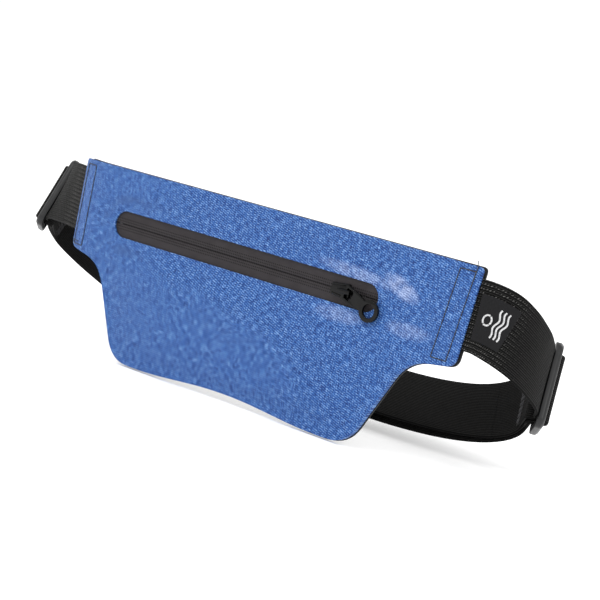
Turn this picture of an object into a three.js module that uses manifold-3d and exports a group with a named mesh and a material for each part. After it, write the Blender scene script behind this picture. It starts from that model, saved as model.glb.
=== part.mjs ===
// A flat waist bag: a thin zipped pouch with a wing at each end, and an elastic
// webbing belt with two tri-glides and a side-release buckle.
// Millimetres, +Z up. The front faces -Y and the wearer's side faces +Y.

import * as THREE from 'three';
import { mergeVertices } from 'three/addons/utils/BufferGeometryUtils.js';
import Module from 'manifold-3d';

const wasm = await Module();
wasm.setup();

// ---------------------------------------------------------------- dimensions

const GAP = 0.3; // air left between pieces that touch

const PANEL_HALF_WIDTH = 144; // along the fabric, before the left wing is bent
const PANEL_HEIGHT = 110.5;
const WING_HEIGHT = 53.5;
const WING_TAPER = 4; // the wing's lower corner sits this much nearer the middle
const SIDE_TOP_HALF_WIDTH = PANEL_HALF_WIDTH - 32.5;
const SIDE_TOP_DROP = WING_HEIGHT + 4.1; // from the top edge down to where wing meets side
const BOTTOM_HALF_WIDTH = 86;
const FOOT_INNER = 56; // the flat feet run from here out to the bottom corners
const BOTTOM_ARCH = 4.8;
const FABRIC = 1;
const LAYER = 1.6; // webbing, and the weld strip that fills the same depth
const BACK_OVERHANG = 0.6; // the back panel shows this much beyond the front one

const BEND_START = PANEL_HALF_WIDTH - 26; // the left wing bends back beyond this distance
const BEND_RADIUS = 50;

const WELD_WIDTH = 7;
const CHAMBER_HALF_WIDTH = PANEL_HALF_WIDTH - 17.5;
const FRONT_BULGE = 4;
const BACK_BULGE = 9;

const ZIP_DROP = 31.9; // from the top edge to the zip's seam
const WINDOW_LEFT = 39.1 - PANEL_HALF_WIDTH;
const WINDOW_RIGHT = PANEL_HALF_WIDTH - 58.4;
const WINDOW_HEIGHT = 15.5;
const TAPE_HEIGHT = 12;
const TAPE_THICKNESS = 0.8;
const SEAM_HALF = 0.15;
const COIL_HEIGHT = 2.6;
const COIL_THICKNESS = 1.3;
const SLIDER_AT = WINDOW_RIGHT - 24.6;
const SLIDER_LENGTH = 12;
const SLIDER_HEIGHT = 9;
const PLATE = 1.8;
const PULL_LENGTH = 18.4; // hinge to the middle of the ring
const PULL_DROOP = THREE.MathUtils.degToRad(20);
const PULL_THICKNESS = 1.6;

const STITCH_OUTER = PANEL_HALF_WIDTH - 4.9;
const STITCH_INNER = STITCH_OUTER - 9.4;
const STITCH_TOP_DROP = 3.5;
const STITCH_BOTTOM_DROP = WING_HEIGHT - 2.2;
const THREAD = 0.7;

const STRAP_HALF_WIDTH = 19;
const STRAP_DROP = 25; // from the top edge to the middle of the strap
const STRAP_INNER_END = CHAMBER_HALF_WIDTH + 1; // how far into the wing the strap reaches
const STUB_LENGTH = 22; // sewn tail of the webbing

const SLOT_HALF_LENGTH = STRAP_HALF_WIDTH + 1;
const GLIDE_HALF_LENGTH = SLOT_HALF_LENGTH + 4; // across the strap
const GLIDE_HALF_WIDTH = 13.2; // along the strap
const GLIDE_THICKNESS = 4.5;
const LONG_BAR = 4.5;
const CENTRE_BAR_HALF = 2.25;
const CENTRE_BAR_THICKNESS = 2.2;
const GLIDE_REACH = GLIDE_HALF_WIDTH + 0.7; // half the length of the pieces held by the glide

const BUCKLE_Y = 84;
const BUCKLE_Z = 17;
const BUCKLE_LEAN = THREE.MathUtils.degToRad(52);
const BUCKLE_HALF_WIDTH = STRAP_HALF_WIDTH + 5;
const BUCKLE_THICKNESS = 11;
const HAIRPIN = 3.1; // radius of the webbing's turn round a buckle bar
const SOCKET_BAR = 39; // distance of the bars from the middle of the belt
const PLUG_BAR = 27;

const ZIP_Z = PANEL_HEIGHT - ZIP_DROP;
const STRAP_Z = PANEL_HEIGHT - STRAP_DROP;

// Heights between which each panel swells out.
const FRONT_SWELL = [WELD_WIDTH, ZIP_Z - 11.6];
const BACK_SWELL = [WELD_WIDTH, PANEL_HEIGHT - 7.5];

// Where each tri-glide hangs, the way the belt runs through it, and how far the handles of
// its curves reach: from the wing, to the glide, from the glide and to the buckle.
const GLIDES = {
  right: {
    at: [PANEL_HALF_WIDTH + 10, 67, STRAP_Z - 33.5],
    heading: 124,
    fall: 22,
    lean: 3,
    bow: [26, 12.6, 29, 92],
  },
  left: {
    at: [-PANEL_HALF_WIDTH - 64, 60, STRAP_Z - 9.1],
    heading: 51,
    fall: 16,
    lean: -17,
    bow: [37, 8, 83, 66],
  },
};

const LAYER_Y = FABRIC + GAP + LAYER / 2; // middle of the layer between the panels
const BACK_Y = FABRIC + LAYER + 2 * GAP; // inner face of the back panel
const UP = new THREE.Vector3(0, 0, 1);

// ------------------------------------------------------------------- helpers

const group = new THREE.Group();

function add(name, geometry, color) {
  const mesh = new THREE.Mesh(geometry, new THREE.MeshStandardMaterial({ color }));
  mesh.name = name;
  group.add(mesh);
}

function toSolid(geometry) {
  const bare = geometry.clone();
  bare.deleteAttribute('normal');
  bare.deleteAttribute('uv');
  const welded = mergeVertices(bare, 1e-5);
  const vertProperties = new Float32Array(welded.attributes.position.array);
  const triVerts = new Uint32Array(welded.index.array);
  return new wasm.Manifold(new wasm.Mesh({ numProp: 3, vertProperties, triVerts }));
}

function toGeometry(solid) {
  const mesh = solid.getMesh();
  const geometry = new THREE.BufferGeometry();
  geometry.setAttribute('position', new THREE.BufferAttribute(mesh.vertProperties, 3));
  geometry.setIndex(new THREE.BufferAttribute(mesh.triVerts, 1));
  return geometry;
}

// A polygon whose corners are eased by the distance r along each side.
function easedShape(corners) {
  const shape = new THREE.Shape();
  corners.forEach((corner, i) => {
    const before = corners[(i + corners.length - 1) % corners.length];
    const after = corners[(i + 1) % corners.length];
    const here = new THREE.Vector2(corner.x, corner.y);
    const toBefore = new THREE.Vector2(before.x, before.y).sub(here);
    const toAfter = new THREE.Vector2(after.x, after.y).sub(here);
    const r = Math.min(corner.r, 0.45 * toBefore.length(), 0.45 * toAfter.length());
    const enter = toBefore.setLength(r).add(here);
    const leave = toAfter.setLength(r).add(here);
    if (i === 0) shape.moveTo(enter.x, enter.y);
    else shape.lineTo(enter.x, enter.y);
    shape.quadraticCurveTo(here.x, here.y, leave.x, leave.y);
  });
  shape.closePath();
  return shape;
}

// Moves every side of a clockwise-from-above polygon inwards by the inset.
function insetCorners(corners, inset) {
  return corners.map((corner, i) => {
    const before = corners[(i + corners.length - 1) % corners.length];
    const after = corners[(i + 1) % corners.length];
    const a = new THREE.Vector2(corner.x - before.x, corner.y - before.y).normalize();
    const b = new THREE.Vector2(after.x - corner.x, after.y - corner.y).normalize();
    const bisector = new THREE.Vector2(a.y + b.y, -a.x - b.x).normalize();
    const stretch = inset / (bisector.x * a.y - bisector.y * a.x);
    return { x: corner.x + bisector.x * stretch, y: corner.y + bisector.y * stretch, r: corner.r };
  });
}

// A shape drawn in (x, z), given depth from y0 to y1.
function prism(shape, y0, y1, curveSegments = 5) {
  const geometry = new THREE.ExtrudeGeometry(shape, {
    depth: y1 - y0,
    bevelEnabled: false,
    curveSegments,
  });
  geometry.rotateX(Math.PI / 2);
  geometry.translate(0, y1, 0);
  return geometry;
}

function block(x0, x1, y0, y1, z0, z1) {
  const geometry = new THREE.BoxGeometry(x1 - x0, y1 - y0, z1 - z0);
  geometry.translate((x0 + x1) / 2, (y0 + y1) / 2, (z0 + z1) / 2);
  return geometry;
}

function slotShape(x0, x1, z, height) {
  const r = height / 2;
  const shape = new THREE.Shape();
  shape.absarc(x1 - r, z, r, -Math.PI / 2, Math.PI / 2);
  shape.absarc(x0 + r, z, r, Math.PI / 2, (3 * Math.PI) / 2);
  shape.closePath();
  return shape;
}

// ------------------------------------------------------ the bend of the wing

// Carries a point of the flat panel (x along the fabric) to the bent one.
function bendPoint(p) {
  const beyond = -p.x - BEND_START;
  if (beyond <= 0) return p;
  const angle = beyond / BEND_RADIUS;
  const r = BEND_RADIUS - p.y;
  p.x = -BEND_START - r * Math.sin(angle);
  p.y = BEND_RADIUS - r * Math.cos(angle);
  return p;
}

function bent(geometry) {
  const position = geometry.attributes.position;
  const p = new THREE.Vector3();
  for (let i = 0; i < position.count; i += 1) {
    bendPoint(p.fromBufferAttribute(position, i));
    position.setXYZ(i, p.x, p.y, p.z);
  }
  return geometry;
}

// ------------------------------------------------------------------- panels

function panelCorners() {
  const top = PANEL_HEIGHT;
  const right = [
    { x: PANEL_HALF_WIDTH, y: top, r: 3 },
    { x: PANEL_HALF_WIDTH - WING_TAPER, y: top - WING_HEIGHT, r: 5 },
    { x: SIDE_TOP_HALF_WIDTH, y: top - SIDE_TOP_DROP, r: 13 },
    { x: BOTTOM_HALF_WIDTH, y: 0, r: 13 },
    { x: FOOT_INNER, y: 0, r: 12 },
  ];
  const left = right.map((c) => ({ x: -c.x, y: c.y, r: c.r })).reverse();
  return [...right, { x: 0, y: BOTTOM_ARCH, r: 40 }, ...left];
}

// Half the width of the chamber inside the weld at height z.
function chamberHalfWidth(z) {
  const slope = (SIDE_TOP_HALF_WIDTH - BOTTOM_HALF_WIDTH) / (PANEL_HEIGHT - SIDE_TOP_DROP);
  return Math.min(BOTTOM_HALF_WIDTH + slope * z, CHAMBER_HALF_WIDTH) - WELD_WIDTH;
}

function swell(x, z, [low, high]) {
  const across = 1 - Math.pow(x / chamberHalfWidth(z), 4);
  const down = 1 - Math.pow((2 * z - low - high) / (high - low), 4);
  return Math.max(across, 0) * Math.max(down, 0);
}

function frontFace(x, z) {
  return -FRONT_BULGE * swell(x, z, FRONT_SWELL);
}

function backFace(x, z) {
  return BACK_Y + BACK_BULGE * swell(x, z, BACK_SWELL);
}

// The whole bag bows by a tenth of a millimetre, which also keeps each slab's
// columns apart, so that the wing has edges to bend along.
function bow(x) {
  return 0.1 * Math.pow(x / PANEL_HALF_WIDTH, 2);
}

// A slab whose two faces follow a surface y(x, z), larger than the panel.
function surfaceSlab(surface, thickness) {
  const columns = 38;
  const rows = 14;
  const width = 2 * (PANEL_HALF_WIDTH + 4);
  const height = PANEL_HEIGHT + 8;
  const slab = new THREE.BoxGeometry(width, thickness, height, columns, 1, rows);
  slab.translate(0, thickness / 2, height / 2 - 4);
  const position = slab.attributes.position;
  for (let i = 0; i < position.count; i += 1) {
    const lift = surface(position.getX(i), position.getZ(i));
    position.setY(i, position.getY(i) + lift + bow(position.getX(i)));
  }
  return toSolid(slab);
}

function panel(surface, inset) {
  const outline = toSolid(prism(easedShape(insetCorners(panelCorners(), inset)), -20, 30));
  return surfaceSlab(surface, FABRIC).intersect(outline);
}

function windowCutter() {
  return toSolid(prism(slotShape(WINDOW_LEFT, WINDOW_RIGHT, ZIP_Z, WINDOW_HEIGHT), -20, 2, 10));
}

// A frame between the panels that closes the chamber and stops short of the straps.
function chamberWeld() {
  const filled = (inset, half) => {
    const outline = toSolid(prism(easedShape(insetCorners(panelCorners(), inset)), -20, 30));
    return outline.intersect(toSolid(block(-half, half, -25, 35, -5, PANEL_HEIGHT + 5)));
  };
  const outer = filled(1, CHAMBER_HALF_WIDTH);
  const inner = filled(1 + WELD_WIDTH, CHAMBER_HALF_WIDTH - WELD_WIDTH);
  const sheet = surfaceSlab(() => LAYER_Y - LAYER / 2, LAYER);
  return toGeometry(sheet.intersect(outer).subtract(inner));
}

const frontPanel = panel(frontFace, BACK_OVERHANG).subtract(windowCutter());
add('front_panel', bent(toGeometry(frontPanel)), 0x2f62b0);
add('back_panel', bent(toGeometry(panel(backFace, 0))), 0x202124);
add('chamber_weld', bent(chamberWeld()), 0x2c2c30);

// ---------------------------------------------------------------- box stitch

function boxStitch(side) {
  const z0 = PANEL_HEIGHT - STITCH_BOTTOM_DROP;
  const z1 = PANEL_HEIGHT - STITCH_TOP_DROP;
  const [x0, x1] = [side * STITCH_INNER, side * STITCH_OUTER].sort((a, b) => a - b);
  const y1 = -GAP;
  const y0 = y1 - THREAD;
  const outer = toSolid(block(x0, x1, y0, y1, z0, z1));
  const inner = toSolid(block(
    x0 + THREAD, x1 - THREAD,
    y0 - 1, y1 + 1,
    z0 + THREAD, z1 - THREAD,
  ));
  return bent(toGeometry(outer.subtract(inner)));
}

add('box_stitch_right', boxStitch(1), 0x0c0c0e);
add('box_stitch_left', boxStitch(-1), 0x0c0c0e);

// ----------------------------------------------------------------------- zip

const TAPE_Y = FABRIC + GAP;
const COIL_Y = TAPE_Y + TAPE_THICKNESS + GAP;
const POST_X = SLIDER_AT + 4.5;
const COIL_END = SLIDER_AT + 10.5;

// The hole that the closed tapes and coils leave round the slider's post.
function postHole() {
  return toSolid(block(POST_X - 1.7, POST_X + 1.7, 0, 9, ZIP_Z - 1.4, ZIP_Z + 1.4));
}

function zipTape(side) {
  const [z0, z1] = [SEAM_HALF, TAPE_HEIGHT].map((d) => ZIP_Z + side * d).sort((a, b) => a - b);
  const strip = block(WINDOW_LEFT - 3, WINDOW_RIGHT + 3, TAPE_Y, TAPE_Y + TAPE_THICKNESS, z0, z1);
  return toGeometry(toSolid(strip).subtract(postHole()));
}

function zipCoil(side) {
  const [z0, z1] = [SEAM_HALF, COIL_HEIGHT].map((d) => ZIP_Z + side * d).sort((a, b) => a - b);
  const strip = block(WINDOW_LEFT + 4, COIL_END, COIL_Y, COIL_Y + COIL_THICKNESS, z0, z1);
  return toGeometry(toSolid(strip).subtract(postHole()));
}

function zipStop(x0, x1) {
  return block(x0, x1, COIL_Y, COIL_Y + 1.6, ZIP_Z - 3, ZIP_Z + 3);
}

add('zip_tape_upper', zipTape(1), 0x35332f);
add('zip_tape_lower', zipTape(-1), 0x35332f);
add('zip_coil_upper', zipCoil(1), 0x1b1b1c);
add('zip_coil_lower', zipCoil(-1), 0x1b1b1c);
add('zip_stop_closed', zipStop(COIL_END + 1.5, COIL_END + 4.5), 0x9a9a9a);
add('zip_stop_open', zipStop(WINDOW_LEFT, WINDOW_LEFT + 3), 0x9a9a9a);

// -------------------------------------------------------------------- slider

const PLATE_BACK = TAPE_Y - 0.4; // inner face of the slider's front plate
const PLATE_FRONT = PLATE_BACK - PLATE;
const CROWN_X = POST_X;
const CROWN_INNER = 2.5; // half the length of the opening under the crown
const CROWN_LEG = 1.6;
const CROWN_RISE = 2.6;
const CROWN_TOP = 1.2;
const CROWN_HALF_HEIGHT = 1;
const HINGE_Y = PLATE_FRONT - CROWN_RISE / 2;

function sliderBody() {
  const half = SLIDER_LENGTH / 2;
  const h = SLIDER_HEIGHT / 2;
  const outline = easedShape([
    { x: SLIDER_AT - half, y: ZIP_Z + h * 0.7, r: 1.5 },
    { x: SLIDER_AT + half, y: ZIP_Z + h, r: 2 },
    { x: SLIDER_AT + half, y: ZIP_Z - h, r: 2 },
    { x: SLIDER_AT - half, y: ZIP_Z - h * 0.7, r: 1.5 },
  ]);
  const backPlate = COIL_Y + COIL_THICKNESS + GAP;
  const front = toSolid(prism(outline, PLATE_FRONT, PLATE_BACK));
  const back = toSolid(prism(outline, backPlate, backPlate + 1));
  const post = toSolid(block(
    POST_X - 1, POST_X + 1,
    PLATE_BACK - 0.5, backPlate + 0.5,
    ZIP_Z - 1, ZIP_Z + 1,
  ));
  const reach = CROWN_INNER + CROWN_LEG;
  const crownFront = PLATE_FRONT - CROWN_RISE - CROWN_TOP;
  const z0 = ZIP_Z - CROWN_HALF_HEIGHT;
  const z1 = ZIP_Z + CROWN_HALF_HEIGHT;
  const crown = toSolid(block(
    CROWN_X - reach, CROWN_X + reach,
    crownFront, PLATE_FRONT + 0.5,
    z0, z1,
  ));
  const under = toSolid(block(
    CROWN_X - CROWN_INNER, CROWN_X + CROWN_INNER,
    PLATE_FRONT - CROWN_RISE, PLATE_FRONT,
    z0 - 1, z1 + 1,
  ));
  return toGeometry(front.add(back).add(post).add(crown.subtract(under)));
}

function pullTab() {
  const outline = easedShape([
    { x: -0.8, y: 4.3, r: 1.2 },
    { x: 7, y: 4, r: 3 },
    { x: 13.4, y: 3.2, r: 1 },
    { x: 13.4, y: -3.2, r: 1 },
    { x: 7, y: -4, r: 3 },
    { x: -0.8, y: -4.3, r: 1.2 },
  ]);
  const hinge = easedShape([
    { x: 0.8, y: 2.9, r: 0.8 },
    { x: 5.4, y: 2.9, r: 1.4 },
    { x: 5.4, y: -2.9, r: 1.4 },
    { x: 0.8, y: -2.9, r: 0.8 },
  ]);
  const ring = new THREE.Shape().absarc(PULL_LENGTH, 0, 6, 0, 2 * Math.PI);
  const hole = new THREE.Shape().absarc(PULL_LENGTH, 0, 3.75, 0, 2 * Math.PI);
  const t = PULL_THICKNESS / 2;
  const tab = toSolid(prism(outline, -t, t))
    .add(toSolid(prism(ring, -t, t, 20)))
    .subtract(toSolid(prism(hinge, -2, 2)))
    .subtract(toSolid(prism(hole, -2, 2, 16)));
  const geometry = toGeometry(tab);
  geometry.rotateY(PULL_DROOP);
  geometry.translate(CROWN_X, HINGE_Y, ZIP_Z);
  return geometry;
}

add('slider_body', sliderBody(), 0x151517);
add('pull_tab', pullTab(), 0x151517);

// ---------------------------------------------------------------- belt paths

// One place on the belt: where it is, its width direction and its outward normal.
function station(side, at, tangent, width) {
  const along = tangent.clone().normalize();
  const across = width.clone().addScaledVector(along, -width.dot(along)).normalize();
  const outward = new THREE.Vector3().crossVectors(along, across).multiplyScalar(side);
  return { at, along, across, outward };
}

function offset(place, distance) {
  return { ...place, at: place.at.clone().addScaledVector(place.outward, distance) };
}

function beltSide(name, side) {
  const glide = GLIDES[name];
  const [heading, fall, lean] = [glide.heading, glide.fall, glide.lean].map(THREE.MathUtils.degToRad);
  const tangent = new THREE.Vector3(
    side * Math.cos(heading) * Math.cos(fall),
    Math.sin(heading) * Math.cos(fall),
    -Math.sin(fall),
  );
  const away = new THREE.Vector3(side * Math.sin(heading), -Math.cos(heading), 0);
  const width = UP.clone().multiplyScalar(Math.cos(lean)).addScaledVector(away, Math.sin(lean));
  const middle = station(side, new THREE.Vector3(...glide.at), tangent, width);
  const alongGlide = (t) => middle.at.clone().addScaledVector(middle.along, t);

  const wingEnd = bendPoint(new THREE.Vector3(side * PANEL_HALF_WIDTH, LAYER_Y, STRAP_Z));
  const wingAngle = side > 0 ? 0 : (PANEL_HALF_WIDTH - BEND_START) / BEND_RADIUS;
  const wingWay = new THREE.Vector3(side * Math.cos(wingAngle), Math.sin(wingAngle), 0);
  const [leaveWing, reachGlide, leaveGlide, reachBuckle] = glide.bow;
  const front = new THREE.CubicBezierCurve3(
    wingEnd,
    wingEnd.clone().addScaledVector(wingWay, leaveWing),
    alongGlide(-GLIDE_REACH - GAP - reachGlide),
    alongGlide(-GLIDE_REACH - GAP),
  );
  const bar = side > 0 ? SOCKET_BAR : PLUG_BAR;
  const buckleEnd = new THREE.Vector3(side * bar, BUCKLE_Y, BUCKLE_Z);
  const rear = new THREE.CubicBezierCurve3(
    alongGlide(GLIDE_REACH + GAP),
    alongGlide(GLIDE_REACH + GAP + leaveGlide),
    buckleEnd.clone().add(new THREE.Vector3(side * reachBuckle, 0, 0)),
    buckleEnd,
  );
  const rearWidth = new THREE.Vector3(0, Math.sin(BUCKLE_LEAN), Math.cos(BUCKLE_LEAN));

  const frontAt = (t) => {
    const across = UP.clone().lerp(middle.across, t);
    return station(side, front.getPoint(t), front.getTangent(t), across);
  };
  const rearAt = (t) => {
    const across = middle.across.clone().lerp(rearWidth, THREE.MathUtils.smoothstep(t, 0, 1));
    return station(side, rear.getPoint(t), rear.getTangent(t), across);
  };
  return { side, middle, frontAt, rearAt, rearLength: rear.getLength() };
}

// Webbing of rectangular section carried along a list of stations.
function ribbon(places, halfWidth, thickness) {
  const vertices = [];
  const faces = [];
  const section = [[-1, -1], [1, -1], [1, 1], [-1, 1]];
  places.forEach((place) => {
    section.forEach(([a, b]) => {
      const corner = place.at.clone();
      corner.addScaledVector(place.across, a * halfWidth);
      corner.addScaledVector(place.outward, (b * thickness) / 2);
      vertices.push(corner.x, corner.y, corner.z);
    });
  });
  const quad = (a, b, c, d) => faces.push(a, b, c, a, c, d);
  for (let i = 0; i < places.length - 1; i += 1) {
    for (let k = 0; k < 4; k += 1) {
      const next = (k + 1) % 4;
      const corners = [4 * i + k, 4 * i + next, 4 * i + 4 + next, 4 * i + 4 + k];
      // Both broad faces are split along one diagonal, so layers stay apart where they twist.
      if (k === 2) corners.push(corners.shift());
      quad(...corners);
    }
  }
  const last = 4 * (places.length - 1);
  quad(3, 2, 1, 0);
  quad(last, last + 1, last + 2, last + 3);
  const geometry = new THREE.BufferGeometry();
  geometry.setAttribute('position', new THREE.Float32BufferAttribute(vertices, 3));
  geometry.setIndex(faces);
  return outwardFacing(geometry);
}

function outwardFacing(geometry) {
  const position = geometry.attributes.position;
  const index = geometry.index.array;
  const [a, b, c] = [0, 1, 2].map(() => new THREE.Vector3());
  let volume = 0;
  for (let i = 0; i < index.length; i += 3) {
    a.fromBufferAttribute(position, index[i]);
    b.fromBufferAttribute(position, index[i + 1]);
    c.fromBufferAttribute(position, index[i + 2]);
    volume += a.dot(b.cross(c));
  }
  if (volume < 0) {
    for (let i = 0; i < index.length; i += 3) {
      [index[i], index[i + 1]] = [index[i + 1], index[i]];
    }
  }
  return geometry;
}

// Stations along a flat path drawn in the glide: t along the belt, n outwards.
function glideStations(belt, points) {
  const { side, middle } = belt;
  return points.map(([t, n], i) => {
    const before = points[Math.max(i - 1, 0)];
    const after = points[Math.min(i + 1, points.length - 1)];
    const at = middle.at.clone()
      .addScaledVector(middle.along, t)
      .addScaledVector(middle.outward, n);
    const tangent = new THREE.Vector3()
      .addScaledVector(middle.along, after[0] - before[0])
      .addScaledVector(middle.outward, after[1] - before[1]);
    return station(side, at, tangent, middle.across);
  });
}

// Points on an arc about (t, n), from one angle to the other in degrees.
function arc(t, n, radius, from, to, steps = 6) {
  return Array.from({ length: steps + 1 }, (_, i) => {
    const angle = THREE.MathUtils.degToRad(from + ((to - from) * i) / steps);
    return [t + radius * Math.cos(angle), n + radius * Math.sin(angle)];
  });
}

// ------------------------------------------------- webbing held by the glide

const STEP = 1.1875 * LAYER; // from one layer of webbing to the next, with air between them
const GLIDE_LIFT = GLIDE_THICKNESS / 2 + GAP + LAYER / 2; // belt to the glide's plane
const TURN_T = 1.25; // centre of the turns over the centre bar
const TURN_N = GLIDE_LIFT + 0.5;
const LOOP_TURN = CENTRE_BAR_HALF + GAP + LAYER / 2 - TURN_T;
const WRAP_TURN = LOOP_TURN + STEP;
const SWEEP = TURN_N; // radius from the slot down to the belt's own level
const SWEEP_T = TURN_T + WRAP_TURN + SWEEP;

function wrapPath() {
  return [
    [-GLIDE_REACH, 0],
    ...arc(-SWEEP_T, TURN_N, SWEEP, 270, 360),
    ...arc(-TURN_T, TURN_N, WRAP_TURN, 180, 90),
    ...arc(TURN_T, TURN_N, WRAP_TURN, 90, 0),
    ...arc(SWEEP_T, TURN_N, SWEEP, 180, 270),
    [GLIDE_REACH, 0],
  ];
}

function loopPath() {
  const tuck = 2.5;
  const low = -2 * STEP;
  return [
    [GLIDE_REACH, -STEP],
    ...arc(SWEEP_T, TURN_N, SWEEP + STEP, 270, 180),
    ...arc(TURN_T, TURN_N, LOOP_TURN, 0, 90),
    ...arc(-TURN_T, TURN_N, LOOP_TURN, 90, 180),
    ...arc(-TURN_T - LOOP_TURN + tuck, low + tuck, tuck, 180, 270),
    [GLIDE_REACH, low],
  ];
}

function heldWebbing(belt, path) {
  return ribbon(glideStations(belt, path), STRAP_HALF_WIDTH, LAYER);
}

function triGlide(belt) {
  const frame = easedShape([
    { x: -GLIDE_HALF_WIDTH, y: GLIDE_HALF_LENGTH, r: 3 },
    { x: GLIDE_HALF_WIDTH, y: GLIDE_HALF_LENGTH, r: 3 },
    { x: GLIDE_HALF_WIDTH, y: -GLIDE_HALF_LENGTH, r: 3 },
    { x: -GLIDE_HALF_WIDTH, y: -GLIDE_HALF_LENGTH, r: 3 },
  ]);
  const inner = GLIDE_HALF_WIDTH - LONG_BAR;
  const half = GLIDE_THICKNESS / 2;
  let solid = toSolid(prism(frame, -half, half));
  [-1, 1].forEach((way) => {
    const [x0, x1] = [way * CENTRE_BAR_HALF, way * inner].sort((a, b) => a - b);
    const slot = block(x0, x1, -5, 5, -SLOT_HALF_LENGTH, SLOT_HALF_LENGTH);
    const thinning = block(
      -CENTRE_BAR_HALF - 1, CENTRE_BAR_HALF + 1,
      ...[way * (CENTRE_BAR_THICKNESS / 2), way * 5].sort((a, b) => a - b),
      -SLOT_HALF_LENGTH, SLOT_HALF_LENGTH,
    );
    solid = solid.subtract(toSolid(slot)).subtract(toSolid(thinning));
  });
  return placed(toGeometry(solid), offset(belt.middle, GLIDE_LIFT));
}

// Puts a piece drawn with x along the belt, y through it and z across it in place.
function placed(geometry, place) {
  const through = new THREE.Vector3().crossVectors(place.across, place.along);
  const basis = new THREE.Matrix4().makeBasis(place.along, through, place.across);
  return geometry.applyMatrix4(basis.setPosition(place.at));
}

// ------------------------------------------------------------ belt, per side

const SPLIT = 0.5; // where the webbing is divided, as a share of the rear run
const FRONT_STEPS = 24;
const REAR_STEPS = 26;

function samples(from, to, count, at) {
  return Array.from({ length: count + 1 }, (_, i) => at(from + ((to - from) * i) / count));
}

function strapFront(belt) {
  const inside = samples(STRAP_INNER_END, PANEL_HALF_WIDTH - 1, 4, (x) => {
    const at = bendPoint(new THREE.Vector3(belt.side * x, LAYER_Y, STRAP_Z));
    const next = bendPoint(new THREE.Vector3(belt.side * (x + 1), LAYER_Y, STRAP_Z));
    return station(belt.side, at, next.sub(at), UP);
  });
  return ribbon([...inside, ...samples(0, 1, FRONT_STEPS, belt.frontAt)], STRAP_HALF_WIDTH, LAYER);
}

// The returning layer closes up to the outer one as it nears the glide.
function returnDepth(t) {
  return -THREE.MathUtils.lerp(STEP, 2 * HAIRPIN, THREE.MathUtils.smoothstep(t, 0, 1));
}

function strapOuter(belt) {
  return ribbon(samples(0, SPLIT, REAR_STEPS, belt.rearAt), STRAP_HALF_WIDTH, LAYER);
}

function strapInner(belt) {
  const at = (t) => offset(belt.rearAt(t), returnDepth(t));
  return ribbon(samples(0, SPLIT, REAR_STEPS, at), STRAP_HALF_WIDTH, LAYER);
}

function strapStub(belt) {
  const reach = STUB_LENGTH / belt.rearLength;
  const at = (t) => offset(belt.rearAt(t), returnDepth(t) - STEP);
  return ribbon(samples(0, reach, 6, at), STRAP_HALF_WIDTH, LAYER);
}

function strapHairpin(belt) {
  const from = SPLIT + GAP / belt.rearLength;
  const outer = samples(from, 1, REAR_STEPS, belt.rearAt);
  const last = outer[outer.length - 1];
  const centre = offset(last, -HAIRPIN).at;
  const turn = samples(0, Math.PI, 8, (angle) => {
    const outward = last.outward.clone().multiplyScalar(Math.cos(angle))
      .addScaledVector(last.along, Math.sin(angle));
    return { ...last, at: centre.clone().addScaledVector(outward, HAIRPIN), outward };
  });
  const back = samples(1, from, REAR_STEPS, (t) => {
    const place = offset(belt.rearAt(t), returnDepth(t));
    return { ...place, outward: place.outward.clone().negate() };
  });
  const places = [...outer.slice(0, -1), ...turn, ...back.slice(1)];
  return ribbon(places, STRAP_HALF_WIDTH, LAYER);
}

const WEBBING = 0x1a1a1b;
const MOULDED = 0x2a2b2d;

function addBelt(name, side) {
  const belt = beltSide(name, side);
  add(`strap_front_${name}`, strapFront(belt), WEBBING);
  add(`strap_wrap_${name}`, heldWebbing(belt, wrapPath()), WEBBING);
  add(`strap_loop_${name}`, heldWebbing(belt, loopPath()), WEBBING);
  add(`tri_glide_${name}`, triGlide(belt), MOULDED);
  add(`strap_outer_${name}`, strapOuter(belt), WEBBING);
  add(`strap_inner_${name}`, strapInner(belt), WEBBING);
  add(`strap_stub_${name}`, strapStub(belt), WEBBING);
  add(`strap_hairpin_${name}`, strapHairpin(belt), WEBBING);
  return belt;
}

const rightBelt = addBelt('right', 1);
addBelt('left', -1);

// A sewn patch on the strap beside the right wing.
const LABEL_HALF_HEIGHT = 12;
const LABEL_THICKNESS = 0.5;
const LABEL_LIFT = 0.9; // clears the strap's twist at the label's corners
const labelAt = (t) => offset(rightBelt.frontAt(t), LAYER / 2 + LABEL_LIFT + LABEL_THICKNESS / 2);
const labelPlaces = samples(1 / FRONT_STEPS, 7 / FRONT_STEPS, 6, labelAt);
add('strap_label', ribbon(labelPlaces, LABEL_HALF_HEIGHT, LABEL_THICKNESS), 0x3a3b3e);

// -------------------------------------------------------------------- buckle

const buckleFrame = {
  at: new THREE.Vector3(
    0,
    BUCKLE_Y - HAIRPIN * Math.cos(BUCKLE_LEAN),
    BUCKLE_Z + HAIRPIN * Math.sin(BUCKLE_LEAN),
  ),
  along: new THREE.Vector3(1, 0, 0),
  across: new THREE.Vector3(0, Math.sin(BUCKLE_LEAN), Math.cos(BUCKLE_LEAN)),
  outward: new THREE.Vector3(0, Math.cos(BUCKLE_LEAN), -Math.sin(BUCKLE_LEAN)),
};
const BUCKLE_HALF = BUCKLE_THICKNESS / 2;
const BAR_HALF = 1.4;
const BAR_DEPTH = 1.6; // half the thickness of a strap bar
const SOCKET_LENGTH = 28;
const CAVITY_HALF_WIDTH = BUCKLE_HALF_WIDTH - 4.2;
const CAVITY_HALF_DEPTH = 3.2;
const WINDOW_START = 13;
const WINDOW_END = 24.5;
const ARM_PIVOT = BUCKLE_HALF_WIDTH - 9;
const ARM_HALF_DEPTH = 2.6;

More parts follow.
